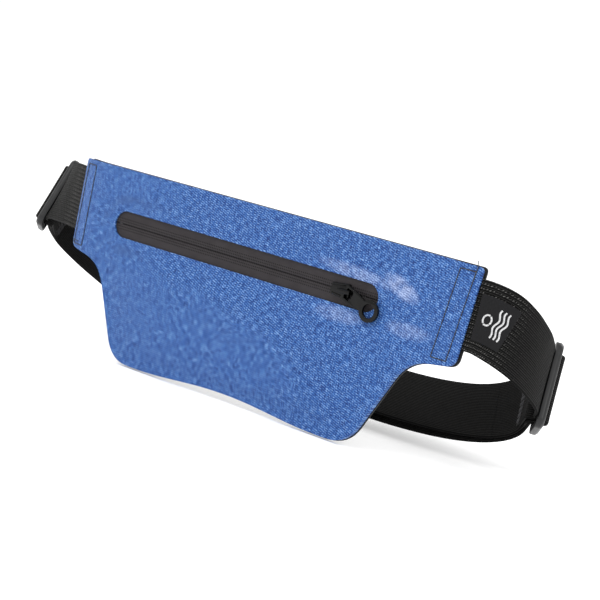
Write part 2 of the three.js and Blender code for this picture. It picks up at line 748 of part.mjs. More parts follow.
function strapBar(bar, way) {
  const outerEdge = bar + way * BAR_HALF;
  const body = bar - way * 14;
  const slotEdge = bar - way * BAR_HALF;
  const sorted = (a, b) => (a < b ? [a, b] : [b, a]);
  const [w, s] = [BUCKLE_HALF_WIDTH, SLOT_HALF_LENGTH];
  const frame = block(...sorted(body, outerEdge), -BAR_DEPTH, BAR_DEPTH, -w, w);
  const slot = block(...sorted(slotEdge - way * 7, slotEdge), -9, 9, -s, s);
  return toSolid(frame).subtract(toSolid(slot));
}

function buckleSocket() {
  const shell = toSolid(prism(easedShape([
    { x: 0, y: BUCKLE_HALF_WIDTH - 1, r: 1.5 },
    { x: SOCKET_LENGTH, y: BUCKLE_HALF_WIDTH, r: 3 },
    { x: SOCKET_LENGTH, y: -BUCKLE_HALF_WIDTH, r: 3 },
    { x: 0, y: 1 - BUCKLE_HALF_WIDTH, r: 1.5 },
  ]), -BUCKLE_HALF, BUCKLE_HALF));
  const depth = CAVITY_HALF_DEPTH;
  const cavity = block(-1, SOCKET_LENGTH - 2, -depth, depth, -CAVITY_HALF_WIDTH, CAVITY_HALF_WIDTH);
  const windows = block(WINDOW_START, WINDOW_END, -depth, depth, -30, 30);
  const hollow = toSolid(cavity).add(toSolid(windows));
  return toGeometry(shell.add(strapBar(SOCKET_BAR, 1)).subtract(hollow));
}

function bucklePlug() {
  const shoulder = toSolid(prism(easedShape([
    { x: -13, y: BUCKLE_HALF_WIDTH - 1, r: 3 },
    { x: -1, y: BUCKLE_HALF_WIDTH - 1, r: 1.5 },
    { x: -1, y: 1 - BUCKLE_HALF_WIDTH, r: 1.5 },
    { x: -13, y: 1 - BUCKLE_HALF_WIDTH, r: 3 },
  ]), 1 - BUCKLE_HALF, BUCKLE_HALF - 1));
  const tongue = toSolid(block(-5, 20, -1.5, 1.5, -4, 4));
  return toGeometry(shoulder.add(tongue).add(strapBar(-PLUG_BAR, -1)));
}

function latchArm(way) {
  const corner = (x, y, r) => ({ x, y: way * y, r });
  const corners = [
    corner(-0.3, ARM_PIVOT - 1.5, 0.3),
    corner(-0.3, ARM_PIVOT + 1.5, 0.3),
    corner(14, ARM_PIVOT + 1.2, 0.3),
    corner(14, BUCKLE_HALF_WIDTH - 1.6, 0.8),
    corner(16, BUCKLE_HALF_WIDTH - 1.6, 1),
    corner(22.5, BUCKLE_HALF_WIDTH - 6, 1.5),
    corner(22.5, ARM_PIVOT - 1, 1),
  ];
  const shape = easedShape(way > 0 ? corners : corners.reverse());
  return prism(shape, -ARM_HALF_DEPTH, ARM_HALF_DEPTH, 3);
}

add('buckle_socket', placed(buckleSocket(), buckleFrame), MOULDED);
add('buckle_plug', placed(bucklePlug(), buckleFrame), MOULDED);
add('latch_arm_upper', placed(latchArm(1), buckleFrame), MOULDED);
add('latch_arm_lower', placed(latchArm(-1), buckleFrame), MOULDED);

// ------------------------------------------- origin: bottom centre of the bag

const box = new THREE.Box3().setFromObject(group);
const middle = box.getCenter(new THREE.Vector3());
group.children.forEach((mesh) => mesh.geometry.translate(-middle.x, -middle.y, -box.min.z));

export default group;
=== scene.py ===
"""Looks of the flat waist bag: cloth, webbing, zip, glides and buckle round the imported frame.

Lengths are in metres. "Bag coordinates" have x along the fabric, y from front to back and z up,
with the origin on the floor below the middle of the front panel; ORIGIN carries them to the frame.
"""
import math
from collections import namedtuple

import bmesh
import bpy
import numpy as np
from mathutils import Matrix, Vector, noise
from mathutils.geometry import delaunay_2d_cdt


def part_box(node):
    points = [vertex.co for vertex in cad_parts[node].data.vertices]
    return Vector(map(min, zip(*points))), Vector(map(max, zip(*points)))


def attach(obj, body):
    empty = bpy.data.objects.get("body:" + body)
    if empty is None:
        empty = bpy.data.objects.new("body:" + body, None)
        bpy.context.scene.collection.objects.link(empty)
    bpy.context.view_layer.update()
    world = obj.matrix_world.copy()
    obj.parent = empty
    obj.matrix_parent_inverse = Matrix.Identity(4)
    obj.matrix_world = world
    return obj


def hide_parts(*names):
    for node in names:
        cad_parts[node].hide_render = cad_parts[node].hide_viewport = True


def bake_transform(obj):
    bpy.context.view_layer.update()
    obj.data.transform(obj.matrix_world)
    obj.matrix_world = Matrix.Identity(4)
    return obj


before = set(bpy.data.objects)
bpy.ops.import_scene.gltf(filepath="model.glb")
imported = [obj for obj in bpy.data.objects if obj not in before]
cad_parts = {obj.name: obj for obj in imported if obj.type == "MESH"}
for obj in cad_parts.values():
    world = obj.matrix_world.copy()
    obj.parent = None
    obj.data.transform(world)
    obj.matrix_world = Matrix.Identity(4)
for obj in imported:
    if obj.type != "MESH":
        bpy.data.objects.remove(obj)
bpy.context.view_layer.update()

# ---------------------------------------------------------------------- sizes

MM = 0.001
GAP = 0.3 * MM

PANEL_HALF_WIDTH = 144 * MM
PANEL_HEIGHT = 110.5 * MM
WING_HEIGHT = 53.5 * MM
WING_TAPER = 4 * MM
SIDE_TOP_HALF_WIDTH = 111.5 * MM
SIDE_TOP_DROP = 57.6 * MM
BOTTOM_HALF_WIDTH = 86 * MM
FOOT_INNER = 56 * MM
BOTTOM_ARCH = 4.8 * MM
FABRIC = 1 * MM
LAYER = 1.6 * MM
BACK_OVERHANG = 0.6 * MM
BEND_START = 118 * MM
BEND_RADIUS = 50 * MM
WELD_WIDTH = 7 * MM
CHAMBER_HALF_WIDTH = 126.5 * MM
FRONT_BULGE = 4 * MM
BACK_BULGE = 9 * MM
CLOTH_GRID = 2 * MM  # spacing of the panels' points
HEM = 1.7 * MM  # how far the front panel's edge is folded back
HEM_THICKNESS = 0.3 * MM

ZIP_Z = PANEL_HEIGHT - 31.9 * MM
WINDOW_LEFT = -104.9 * MM
WINDOW_RIGHT = 85.6 * MM
WINDOW_HEIGHT = 15.5 * MM
WINDOW_MIDDLE = -9.6 * MM
WINDOW_STRAIGHT = 88 * MM  # half the length of its straight sides
TAPE_Y = FABRIC + GAP
TAPE_ROWS = (1.3 * MM, 2.7 * MM)  # the rows of sewing pressed up through the film
TAPE_ROW_PITCH = 1.3 * MM
TAPE_THICKNESS = 0.8 * MM
SEAM_HALF = 0.15 * MM
COIL_END = 71.1 * MM
COIL_HEIGHT = 2.6 * MM
COIL_PITCH = 1.5 * MM
SLIDER_AT = 61 * MM
POST_HALF_HEIGHT = 1 * MM  # of the slider's post, which runs between the two coils
CROWN_X = 65.5 * MM
PLATE_FRONT = -0.9 * MM

STITCH_OUTER = 139.1 * MM
STITCH_INNER = 129.7 * MM
STITCH_TOP = PANEL_HEIGHT - 3.5 * MM
STITCH_BOTTOM = PANEL_HEIGHT - 51.3 * MM
STITCH_LENGTH = 3.25 * MM
STITCH_PITCH = 3.4 * MM
THREAD_RADIUS = 0.26 * MM

STRAP_HALF_WIDTH = 19 * MM
STRAP_Z = PANEL_HEIGHT - 25 * MM
STRAP_INNER_END = 127.5 * MM
STUB_LENGTH = 22 * MM
GLIDE_HALF_LENGTH = 24 * MM
GLIDE_HALF_WIDTH = 13.2 * MM
GLIDE_REACH = 13.9 * MM
BUCKLE_Y = 84 * MM
BUCKLE_Z = 17 * MM
BUCKLE_LEAN = math.radians(52)
HAIRPIN = 3.1 * MM
SOCKET_BAR = 39 * MM
PLUG_BAR = 27 * MM

# Where each tri-glide hangs, the way the belt runs through it, and the handles of its curves.
GLIDES = {
    "right": {"at": (154, 67, 52), "turn": (124, 22, 3), "bow": (26, 12.6, 29, 92)},
    "left": {"at": (-208, 60, 76.4), "turn": (51, 16, -17), "bow": (37, 8, 83, 66)},
}

LAYER_Y = FABRIC + GAP + LAYER / 2
BACK_Y = FABRIC + LAYER + 2 * GAP
UP = Vector((0, 0, 1))
ORIGIN = Vector((
    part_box("back_panel")[1].x - PANEL_HALF_WIDTH,
    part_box("zip_tape_upper")[0].y - TAPE_Y,
    0,
))

# --------------------------------------------------------------------- camera

CAMERA_TARGET = Vector((0.0269, 0.0136, 0.0652))  # in bag coordinates
CAMERA_DISTANCE = 0.989
CAMERA_AZIMUTH = math.radians(36)
CAMERA_ELEVATION = math.radians(6.09)
CAMERA_ROLL = math.radians(12.91)
CAMERA_LENS = 108.95
CAMERA_SENSOR = 36


def add_camera():
    back = Vector((
        math.sin(CAMERA_AZIMUTH) * math.cos(CAMERA_ELEVATION),
        -math.cos(CAMERA_AZIMUTH) * math.cos(CAMERA_ELEVATION),
        math.sin(CAMERA_ELEVATION),
    ))
    right = UP.cross(back).normalized()
    up = back.cross(right)
    cos, sin = math.cos(CAMERA_ROLL), math.sin(CAMERA_ROLL)
    axes = Matrix((right * cos + up * sin, up * cos - right * sin, back)).transposed()
    data = bpy.data.cameras.new("camera")
    data.lens = CAMERA_LENS
    data.sensor_width = CAMERA_SENSOR
    camera = bpy.data.objects.new("camera", data)
    place = ORIGIN + CAMERA_TARGET + back * CAMERA_DISTANCE
    camera.matrix_world = Matrix.Translation(place) @ axes.to_4x4()
    bpy.context.scene.collection.objects.link(camera)
    bpy.context.scene.camera = camera


# ------------------------------------------------------------------ materials


class Graph:
    """A material and its nodes, with a short method for each kind of node that is used."""

    def __init__(self, name):
        self.material = bpy.data.materials.new(name)
        self.material.use_nodes = True
        self.nodes = self.material.node_tree.nodes
        self.links = self.material.node_tree.links
        self.shader = self.nodes["Principled BSDF"]

    def feed(self, socket, value):
        if isinstance(value, bpy.types.NodeSocket):
            self.links.new(value, socket)
        else:
            socket.default_value = value

    def node(self, kind, inputs, **settings):
        made = self.nodes.new("ShaderNode" + kind)
        for key, value in settings.items():
            setattr(made, key, value)
        for key, value in inputs.items():
            self.feed(made.inputs[key], value)
        return made

    def set(self, **values):
        for key, value in values.items():
            self.feed(self.shader.inputs[key.replace("_", " ")], value)

    def math(self, operation, a, b=0.0, c=0.0):
        return self.node("Math", {0: a, 1: b, 2: c}, operation=operation).outputs[0]

    def times(self, a, b):
        return self.math("MULTIPLY", a, b)

    def plus(self, a, b):
        return self.math("ADD", a, b)

    def minus(self, a, b):
        return self.math("SUBTRACT", a, b)

    def scaled(self, value, factor, added):
        return self.math("MULTIPLY_ADD", value, factor, added)

    def cloth(self):
        """The two cloth coordinates: metres along the piece, and metres across it."""
        uv = self.node("UVMap", {}).outputs[0]
        parts = self.node("SeparateXYZ", {0: uv})
        return parts.outputs[0], parts.outputs[1]

    def place(self):
        return self.node("TexCoord", {}).outputs["Object"]

    def vector(self, x, y, z=0.0):
        return self.node("CombineXYZ", {0: x, 1: y, 2: z}).outputs[0]

    def noise(self, at, scale, detail=2.0):
        inputs = {"Vector": at, "Scale": scale, "Detail": detail}
        return self.node("TexNoise", inputs).outputs["Fac"]

    def grain(self, x, y, x_size, y_size, detail=1.0):
        """Noise whose grains measure about x_size by y_size."""
        at = self.vector(self.math("DIVIDE", x, x_size), self.math("DIVIDE", y, y_size))
        return self.noise(at, 1.0, detail)

    def wave(self, value, pitch):
        """A smooth wave between 0 and 1 that repeats each pitch."""
        angle = self.times(value, 2 * math.pi / pitch)
        return self.scaled(self.math("SINE", angle), 0.5, 0.5)

    def fade(self, value, low, high, start=0.0, end=1.0):
        """From start to end as the value goes from low to high, smoothly."""
        keys = {"Value": value, "From Min": low, "From Max": high, "To Min": start, "To Max": end}
        return self.node("MapRange", keys, interpolation_type="SMOOTHSTEP").outputs[0]

    def ramp(self, value, *stops):
        ramp = self.node("ValToRGB", {"Fac": value})
        elements = ramp.color_ramp.elements
        while len(elements) < len(stops):
            elements.new(0.5)
        for element, (position, color) in zip(elements, stops):
            element.position = position
            element.color = (*color, 1)
        return ramp.outputs[0]

    def mix(self, share, a, b):
        node = self.nodes.new("ShaderNodeMix")
        node.data_type = "RGBA"
        self.feed(node.inputs[0], share)
        self.feed(node.inputs[6], a)
        self.feed(node.inputs[7], b)
        return node.outputs[2]

    def bump(self, height, distance, strength):
        inputs = {"Strength": strength, "Distance": distance, "Height": height}
        return self.node("Bump", inputs).outputs[0]


# Patches of painted sheen, a highlight where the cloth bulges: how far right of the window's right end
# and above the zip, half length and half height (all in mm), slope and strength.
SHEEN_PATCHES = (
    (12.5, 10, 13, 6, -0.32, 0.62),
    (-16, 10.8, 30, 4.5, -0.07, 0.34),
    (-22, -12.7, 18, 5, 0.0, 0.26),
    (22, -10.5, 16, 5, 0.0, 0.26),
)


def blue_fabric():
    """Heathered plain weave: each thread has its own shade, coated so that it shines a little."""
    g = Graph("blue_fabric")
    x, z = g.cloth()
    warp = g.grain(x, z, 0.5 * MM, 4.0 * MM)
    weft = g.grain(x, z, 4.0 * MM, 0.5 * MM)
    crossing = g.times(g.wave(x, 1.0 * MM), g.wave(z, 1.1 * MM))
    threads = g.plus(g.times(warp, 0.65), g.scaled(weft, 0.60, -0.125))
    twill = g.wave(g.plus(g.times(x, 0.36), g.times(z, 0.93)), 1.2 * MM)
    shade = g.plus(threads, g.scaled(twill, 0.18, -0.09))
    shade = g.plus(shade, g.scaled(crossing, 0.12, -0.03))
    color = g.ramp(
        shade,
        (0.36, (0.006, 0.028, 0.135)),
        (0.48, (0.016, 0.072, 0.260)),
        (0.57, (0.032, 0.118, 0.355)),
        (0.72, (0.190, 0.330, 0.600)),
    )
    cloudy = g.noise(g.vector(x, z), 38.0, 3.0)
    color = g.mix(g.fade(cloudy, 0.42, 0.75, 0.0, 0.16), color, (0.03, 0.085, 0.26, 1))

    # Round the zip's window the cloth is darker at its left end; at its right end, pale patches are painted
    # sheen.
    beyond = g.minus(g.math("ABSOLUTE", g.minus(x, WINDOW_MIDDLE)), WINDOW_STRAIGHT)
    beyond = g.math("MAXIMUM", beyond, 0.0)
    above = g.minus(z, ZIP_Z)
    far = g.math("SQRT", g.plus(g.math("POWER", beyond, 2.0), g.math("POWER", above, 2.0)))
    rise = g.fade(far, 10 * MM, 14 * MM)
    fall = g.fade(far, 15 * MM, 19 * MM, 1.0, 0.0)
    ragged = g.fade(g.noise(g.vector(x, z), 70.0, 4.0), 0.36, 0.60)
    band = g.times(g.times(rise, fall), ragged)
    # The pale patches are painted sheen: a highlight painted on the bulging cloth near the slider.
    pale = 0.0
    for at_x, at_z, length, height, slope, strength in SHEEN_PATCHES:
        along = g.minus(x, WINDOW_RIGHT + at_x * MM)
        rise = g.minus(above, g.scaled(along, slope, at_z * MM))
        over = g.math("DIVIDE", g.math("ABSOLUTE", along), length * MM)
        up = g.math("DIVIDE", g.math("ABSOLUTE", rise), height * MM)
        reach = g.plus(g.math("POWER", over, 2.0), g.math("POWER", up, 2.0))
        patch = g.fade(reach, 0.0, 1.1, strength, 0.0)
        pale = g.math("MAXIMUM", pale, patch)
    pale = g.times(pale, g.fade(g.noise(g.vector(x, z), 160.0, 4.0), 0.30, 0.55, 0.35, 1.0))
    pale = g.times(pale, g.fade(shade, 0.40, 0.62, 0.45, 1.25))
    dark = g.times(band, g.fade(x, -60 * MM, -100 * MM, 0.0, 0.55))
    color = g.mix(dark, color, (0.03, 0.07, 0.20, 1))
    # Painted sheen: the pale patches lighten the cloth.
    color = g.mix(pale, color, (0.42, 0.50, 0.72, 1))

    weave = g.plus(crossing, g.times(threads, 1.3))
    roughness = g.scaled(threads, 0.2, 0.52)
    g.set(Base_Color=color, Roughness=roughness, Normal=g.bump(weave, 0.16 * MM, 0.55))
    g.set(Specular_IOR_Level=0.25, Sheen_Weight=0.12, Sheen_Roughness=0.4)
    return g.material


def backing_fabric():
    """Dark close weave of the side that lies on the body."""
    g = Graph("backing_fabric")
    x, z = g.cloth()
    weave = g.times(g.wave(x, 0.9 * MM), g.wave(z, 0.9 * MM))
    threads = g.grain(x, z, 0.5 * MM, 2.5 * MM)
    shade = g.plus(g.times(weave, 0.4), g.times(threads, 0.6))
    color = g.ramp(shade, (0.2, (0.006, 0.006, 0.007)), (0.75, (0.026, 0.027, 0.030)))
    dusty = g.fade(g.noise(g.vector(x, z), 30.0, 4.0), 0.45, 0.8, 0.0, 0.25)
    color = g.mix(dusty, color, (0.045, 0.045, 0.048, 1))
    g.set(Base_Color=color, Roughness=g.scaled(threads, 0.2, 0.65))
    g.set(Normal=g.bump(shade, 0.15 * MM, 0.6), Specular_IOR_Level=0.2, Sheen_Weight=0.1)
    return g.material


def webbing(name="webbing", loose=0.0):
    """Elastic webbing with fine lengthwise ribs. Up to `loose` metres along, its threads show as dashes."""
    g = Graph(name)
    along, across = g.cloth()
    ribs = g.wave(across, 1.15 * MM)
    picks = g.wave(g.plus(along, g.times(ribs, 0.4 * MM)), 1.3 * MM)
    threads = g.grain(along, across, 1.6 * MM, 0.5 * MM)
    shade = g.plus(g.times(ribs, 0.6), g.times(threads, 0.5))
    color = g.ramp(
        shade,
        (0.25, (0.0008, 0.0008, 0.0008)),
        (0.60, (0.0052, 0.0052, 0.0050)),
        (0.95, (0.022, 0.0215, 0.021)),
    )
    if loose:
        dots = g.times(g.fade(picks, 0.55, 0.9), g.fade(g.wave(across, 2.3 * MM), 0.6, 0.95))
        dots = g.times(dots, g.fade(threads, 0.38, 0.62))
        near = g.fade(along, 0.45 * loose, loose, 0.9, 0.12)
        color = g.mix(g.times(dots, near), color, (0.16, 0.155, 0.15, 1))
    height = g.plus(g.times(ribs, 1.0), g.times(picks, 0.25))
    height = g.plus(height, g.times(threads, 0.35))
    g.set(Base_Color=color, Roughness=g.scaled(threads, 0.25, 0.55))
    g.set(Normal=g.bump(height, 0.28 * MM, 0.8), Specular_IOR_Level=0.06)
    return g.material


def thread():
    """Twisted polyester sewing thread."""
    g = Graph("thread")
    along, across = g.cloth()
    twist = g.wave(g.plus(along, across), 0.35 * MM)
    color = g.mix(twist, (0.006, 0.006, 0.008, 1), (0.03, 0.03, 0.034, 1))
    g.set(Base_Color=color, Roughness=0.45, Normal=g.bump(twist, 0.05 * MM, 0.7))
    return g.material


def label_fabric():
    """Close satin of the sewn label."""
    g = Graph("label_fabric")
    along, across = g.cloth()
    satin = g.grain(along, across, 0.3 * MM, 1.5 * MM)
    rows = g.wave(across, 0.45 * MM)
    color = g.mix(satin, (0.004, 0.004, 0.0045, 1), (0.012, 0.012, 0.013, 1))
    height = g.plus(satin, g.times(rows, 0.6))
    g.set(Base_Color=color, Roughness=g.scaled(satin, 0.2, 0.42))
    g.set(Normal=g.bump(height, 0.06 * MM, 0.7), Specular_IOR_Level=0.12)
    return g.material


def label_ink():
    """Pale printing ink, a little broken by the satin below it."""
    g = Graph("label_ink")
    along, across = g.cloth()
    worn = g.grain(along, across, 0.35 * MM, 0.9 * MM)
    color = g.mix(g.fade(worn, 0.3, 0.6), (0.40, 0.40, 0.41, 1), (0.66, 0.66, 0.66, 1))
    g.set(Base_Color=color, Roughness=0.6, Normal=g.bump(worn, 0.03 * MM, 0.5))
    return g.material


def zip_film():
    """Matte polyurethane film, slightly mottled, with shade painted into dents along its raised rows of
    stitches.
    """
    g = Graph("zip_film")
    x, z = g.cloth()
    mottle = g.grain(x, z, 9 * MM, 5 * MM, 3.0)
    pores = g.grain(x, z, 0.35 * MM, 0.35 * MM, 2.0)
    color = g.mix(mottle, (0.022, 0.019, 0.021, 1), (0.040, 0.036, 0.038, 1))
    off = g.math("ABSOLUTE", g.minus(z, ZIP_Z))
    rows = g.wave(g.minus(off, TAPE_ROWS[0]), TAPE_ROWS[1] - TAPE_ROWS[0])
    # Painted shade: the dents along the rows of stitches are darkened almost to black.
    dent_shade = g.times(g.fade(g.wave(x, TAPE_ROW_PITCH), 0.4, 0.8), g.fade(rows, 0.35, 0.75))
    dent_shade = g.times(dent_shade, g.fade(off, 3.4 * MM, 3.6 * MM, 1.0, 0.0))
    color = g.mix(g.times(dent_shade, 0.9), color, (0.002, 0.002, 0.002, 1))
    g.set(Base_Color=color, Roughness=g.scaled(mottle, 0.15, 0.42))
    g.set(Normal=g.bump(pores, 0.03 * MM, 0.5), Specular_IOR_Level=0.11)
    return g.material


def moulded(name, dark, light, roughness, pore=0.3 * MM):
    """A moulded or pressed surface with a fine spark-eroded grain and paler rubbed patches."""
    g = Graph(name)
    at = g.place()
    grain = g.noise(at, 1 / pore, 2.0)
    patches = g.noise(at, 60.0, 3.0)
    color = g.mix(g.fade(patches, 0.35, 0.7), (*dark, 1), (*light, 1))
    rough = g.scaled(patches, 0.16, roughness - 0.08)
    g.set(Base_Color=color, Roughness=rough, Normal=g.bump(grain, 0.03 * MM, 0.35))
    return g


def slider_metal():
    """Gloss black lacquer over cast zinc."""
    g = moulded("slider_metal", (0.0010, 0.0010, 0.0012), (0.0020, 0.0020, 0.0020), 0.17, 1.5 * MM)
    g.set(Specular_IOR_Level=0.08, Coat_Weight=0.25, Coat_Roughness=0.06)
    return g.material


def acetal():
    """Satin black acetal with faint flow marks."""
    g = moulded("acetal", (0.006, 0.0062, 0.0068), (0.013, 0.0133, 0.014), 0.36)
    g.set(Specular_IOR_Level=0.4)
    return g.material


def coil_nylon():
    """Dull black nylon of the coils."""
    g = moulded("coil_nylon", (0.008, 0.008, 0.008), (0.018, 0.018, 0.018), 0.45)
    return g.material


def weld_film():
    """Dark film of the strip between the panels."""
    g = moulded("weld_film", (0.010, 0.010, 0.011), (0.020, 0.020, 0.022), 0.5)
    return g.material


def stop_metal():
    """Bare metal of the zip's stops."""
    g = moulded("stop_metal", (0.35, 0.35, 0.36), (0.55, 0.55, 0.56), 0.35)
    g.set(Metallic=1.0)
    return g.material


def floor_paint():
    """White floor that glows a little, so that only the nearest shadows show on it."""
    g = Graph("floor_paint")
    cloud = g.noise(g.place(), 3.0, 2.0)
    g.set(Base_Color=g.mix(cloud, (0.93, 0.93, 0.93, 1), (0.95, 0.95, 0.95, 1)), Roughness=0.75)
    g.set(Specular_IOR_Level=0.1, Emission_Color=(1, 1, 1, 1), Emission_Strength=0.2)
    return g.material


# --------------------------------------------------------------------- meshes


class Solid:
    """Points, faces and cloth coordinates gathered for one object, in bag coordinates."""

    def __init__(self):
        self.points, self.faces, self.cloth = [], [], []

    def add(self, points, faces, cloth):
        first = len(self.points)
        self.points.extend(points)
        self.cloth.extend(cloth)
        self.faces.extend([first + i for i in face] for face in faces)

    def object(self, name, material, sharp=40):
        mesh = bpy.data.meshes.new(name)
        mesh.from_pydata([Vector(p) + ORIGIN for p in self.points], [], self.faces)
        layer = mesh.uv_layers.new(name="cloth")
        for loop in mesh.loops:
            layer.data[loop.index].uv = self.cloth[loop.vertex_index]
        outward(mesh)
        return finished(name, mesh, material, sharp)


def outward(mesh):
    """Turns the faces of a closed mesh outwards."""
    bm = bmesh.new()
    bm.from_mesh(mesh)
    bmesh.ops.recalc_face_normals(bm, faces=bm.faces)
    bm.to_mesh(mesh)
    bm.free()


def finished(name, mesh, material, sharp):
    mesh.materials.clear()
    mesh.materials.append(material)
    mesh.shade_smooth()
    mesh.set_sharp_from_angle(angle=math.radians(sharp))
    made = bpy.data.objects.new(name, mesh)
    bpy.context.scene.collection.objects.link(made)
    return made


def stands_for(made, slot, body, *nodes):
    """Puts a piece on its body, and hides the CAD nodes that it shows in more detail."""
    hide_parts(*nodes)
    if body:
        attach(made, body)
    return made


def eased(corners, steps=6):
    """The corners (x, y, r) of a polygon, each replaced by a curve that starts r along its sides."""
    points = []
    for i, (x, y, r) in enumerate(corners):
        here = Vector((x, y))
        before = Vector(corners[i - 1][:2]) - here
        after = Vector(corners[(i + 1) % len(corners)][:2]) - here
        r = min(r, 0.45 * before.length, 0.45 * after.length)
        enter, leave = here + before.normalized() * r, here + after.normalized() * r
        for k in range(steps + 1):
            t = k / steps
            points.append(enter * (1 - t) ** 2 + here * 2 * t * (1 - t) + leave * t ** 2)
    return points


def ring_faces(rings, size, closed_ends=True):
    """Quads between rings of points, with the first and last ring filled."""
    faces = []
    for i in range(rings - 1):
        for k in range(size):
            j = (k + 1) % size
            a, b = i * size, (i + 1) * size
            faces.append([a + k, a + j, b + j, b + k])
    if closed_ends:
        faces.append(list(range(size)))
        faces.append([(rings - 1) * size + k for k in reversed(range(size))])
    return faces


def tube(solid, line, radius, sides=8):
    """A round thread along a line of points."""
    points, cloth = [], []
    reach = 0.0
    for i, at in enumerate(line):
        way = (line[min(i + 1, len(line) - 1)] - line[max(i - 1, 0)]).normalized()
        across = way.orthogonal().normalized()
        over = way.cross(across)
        if i:
            reach += (at - line[i - 1]).length
        for k in range(sides):
            angle = 2 * math.pi * k / sides
            points.append(at + (across * math.cos(angle) + over * math.sin(angle)) * radius)
            cloth.append((reach, angle * radius))
    solid.add(points, ring_faces(len(line), sides), cloth)


def rounded_copy(node, name, width, material, segments=3):
    """A CAD node's solid with its sharp edges rounded by the width."""
    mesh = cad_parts[node].data.copy()
    bm = bmesh.new()
    bm.from_mesh(mesh)
    bmesh.ops.remove_doubles(bm, verts=bm.verts, dist=1e-6)
    bmesh.ops.dissolve_limit(bm, angle_limit=math.radians(3), verts=bm.verts, edges=bm.edges)
    bm.to_mesh(mesh)
    bm.free()
    made = finished(name, mesh, material, 35)
    bevel = made.modifiers.new("rounding", "BEVEL")
    bevel.width = width
    bevel.segments = segments
    bevel.angle_limit = math.radians(30)
    evaluated = made.evaluated_get(bpy.context.evaluated_depsgraph_get())
    made.data = bpy.data.meshes.new_from_object(evaluated)
    made.modifiers.clear()
    made.data.shade_smooth()
    made.data.set_sharp_from_angle(angle=math.radians(35))
    return made


# --------------------------------------------------------------------- panels


def bend(x, y, z):
    """Carries a point of the flat bag to the bent one, whose left wing turns back."""
    beyond = -x - BEND_START
    if beyond <= 0:
        return Vector((x, y, z))
    angle = beyond / BEND_RADIUS
    r = BEND_RADIUS - y
    return Vector((-BEND_START - r * math.sin(angle), BEND_RADIUS - r * math.cos(angle), z))


def panel_corners():
    top = PANEL_HEIGHT
    right = [
        (PANEL_HALF_WIDTH, top, 3 * MM),
        (PANEL_HALF_WIDTH - WING_TAPER, top - WING_HEIGHT, 5 * MM),
        (SIDE_TOP_HALF_WIDTH, top - SIDE_TOP_DROP, 13 * MM),
        (BOTTOM_HALF_WIDTH, 0.0, 13 * MM),
        (FOOT_INNER, 0.0, 12 * MM),
    ]
    left = [(-x, z, r) for x, z, r in reversed(right)]
    return right + [(0.0, BOTTOM_ARCH, 40 * MM)] + left


def inset(corners, distance):
    """Moves every side of a clockwise polygon inwards."""
    moved = []
    for i, (x, z, r) in enumerate(corners):
        a = (Vector((x, z)) - Vector(corners[i - 1][:2])).normalized()
        b = (Vector(corners[(i + 1) % len(corners)][:2]) - Vector((x, z))).normalized()
        middle = Vector((a.y + b.y, -a.x - b.x)).normalized()
        stretch = distance / (middle.x * a.y - middle.y * a.x)
        moved.append((x + middle.x * stretch, z + middle.y * stretch, r))
    return moved


def chamber_half_width(z):
    slope = (SIDE_TOP_HALF_WIDTH - BOTTOM_HALF_WIDTH) / (PANEL_HEIGHT - SIDE_TOP_DROP)
    return min(BOTTOM_HALF_WIDTH + slope * z, CHAMBER_HALF_WIDTH) - WELD_WIDTH


def swell(x, z, middle, reach):
    across = 1 - (x / chamber_half_width(z)) ** 4
    down = 1 - ((z - middle) / reach) ** 4
    return max(across, 0) * max(down, 0)


def bow(x):
    return 0.1 * MM * (x / PANEL_HALF_WIDTH) ** 2


def softness(x, z):
    """Slow unevenness of cloth held flat at its edges."""
    slow = noise.noise(Vector((x * 22, z * 30, 3.1)))
    quick = noise.noise(Vector((x * 60, z * 75, 7.7)))
    return 0.55 * MM * slow + 0.18 * MM * quick


def front_face(x, z):
    held = swell(x, z, 37 * MM, 30 * MM)
    creases = 0.5 * MM * math.sin(x / (7 * MM) + 3 * noise.noise(Vector((x * 15, z * 15, 0))))
    creases *= max(0.0, 1 - abs(z - 66 * MM) / (7 * MM)) * min(held * 3, 1)
    return -FRONT_BULGE * held - softness(x, z) * min(held * 2, 1) - creases * 0.5 + bow(x)


def back_face(x, z):
    held = swell(x, z, 55 * MM, 48 * MM)
    return BACK_Y + BACK_BULGE * held + softness(x + 0.5, z) * min(held * 2, 1) * 1.6 + bow(x)


def inside(points, polygon):
    """Which points lie inside a polygon."""
    found = np.zeros(len(points), bool)
    for i, (x1, y1) in enumerate(polygon):
        x0, y0 = polygon[i - 1]
        crosses = (y0 > points[:, 1]) != (y1 > points[:, 1])
        if y1 != y0:
            at = x0 + (points[:, 1] - y0) * (x1 - x0) / (y1 - y0)
            found ^= crosses & (points[:, 0] < at)
    return found


def away_from(points, polygon, distance):
    """Which points lie further than the distance from a polygon's sides."""
    far = np.ones(len(points), bool)
    for i, end in enumerate(polygon):
        a, b = np.array(polygon[i - 1]), np.array(end)
        side = b - a
        share = np.clip((points - a) @ side / max(side @ side, 1e-12), 0, 1)
        far &= np.linalg.norm(points - a - share[:, None] * side, axis=1) > distance
    return far


def cloth_cut(outline, holes):
    """Triangles that fill a flat cut of cloth, on an even grid inside its edges."""
    xs = np.arange(-PANEL_HALF_WIDTH, PANEL_HALF_WIDTH, CLOTH_GRID)
    zs = np.arange(0, PANEL_HEIGHT, CLOTH_GRID)
    grid = np.array([(x, z) for x in xs for z in zs])
    points, edges = [], []
    for polygon in [outline, *holes]:
        first = len(points)
        points.extend(polygon)
        edges.extend((first + i, first + (i + 1) % len(polygon)) for i in range(len(polygon)))
        grid = grid[away_from(grid, polygon, 0.55 * CLOTH_GRID)]
    points = [Vector(p) for p in [*points, *grid]]
    corners, _, faces, *_ = delaunay_2d_cdt(points, edges, [], 0, 1e-7)
    middles = np.array([np.mean([corners[i] for i in face], axis=0) for face in faces])
    kept = inside(middles, outline)
    for hole in holes:
        kept &= ~inside(middles, hole)
    return [tuple(c) for c in corners], [face for face, keep in zip(faces, kept) if keep]


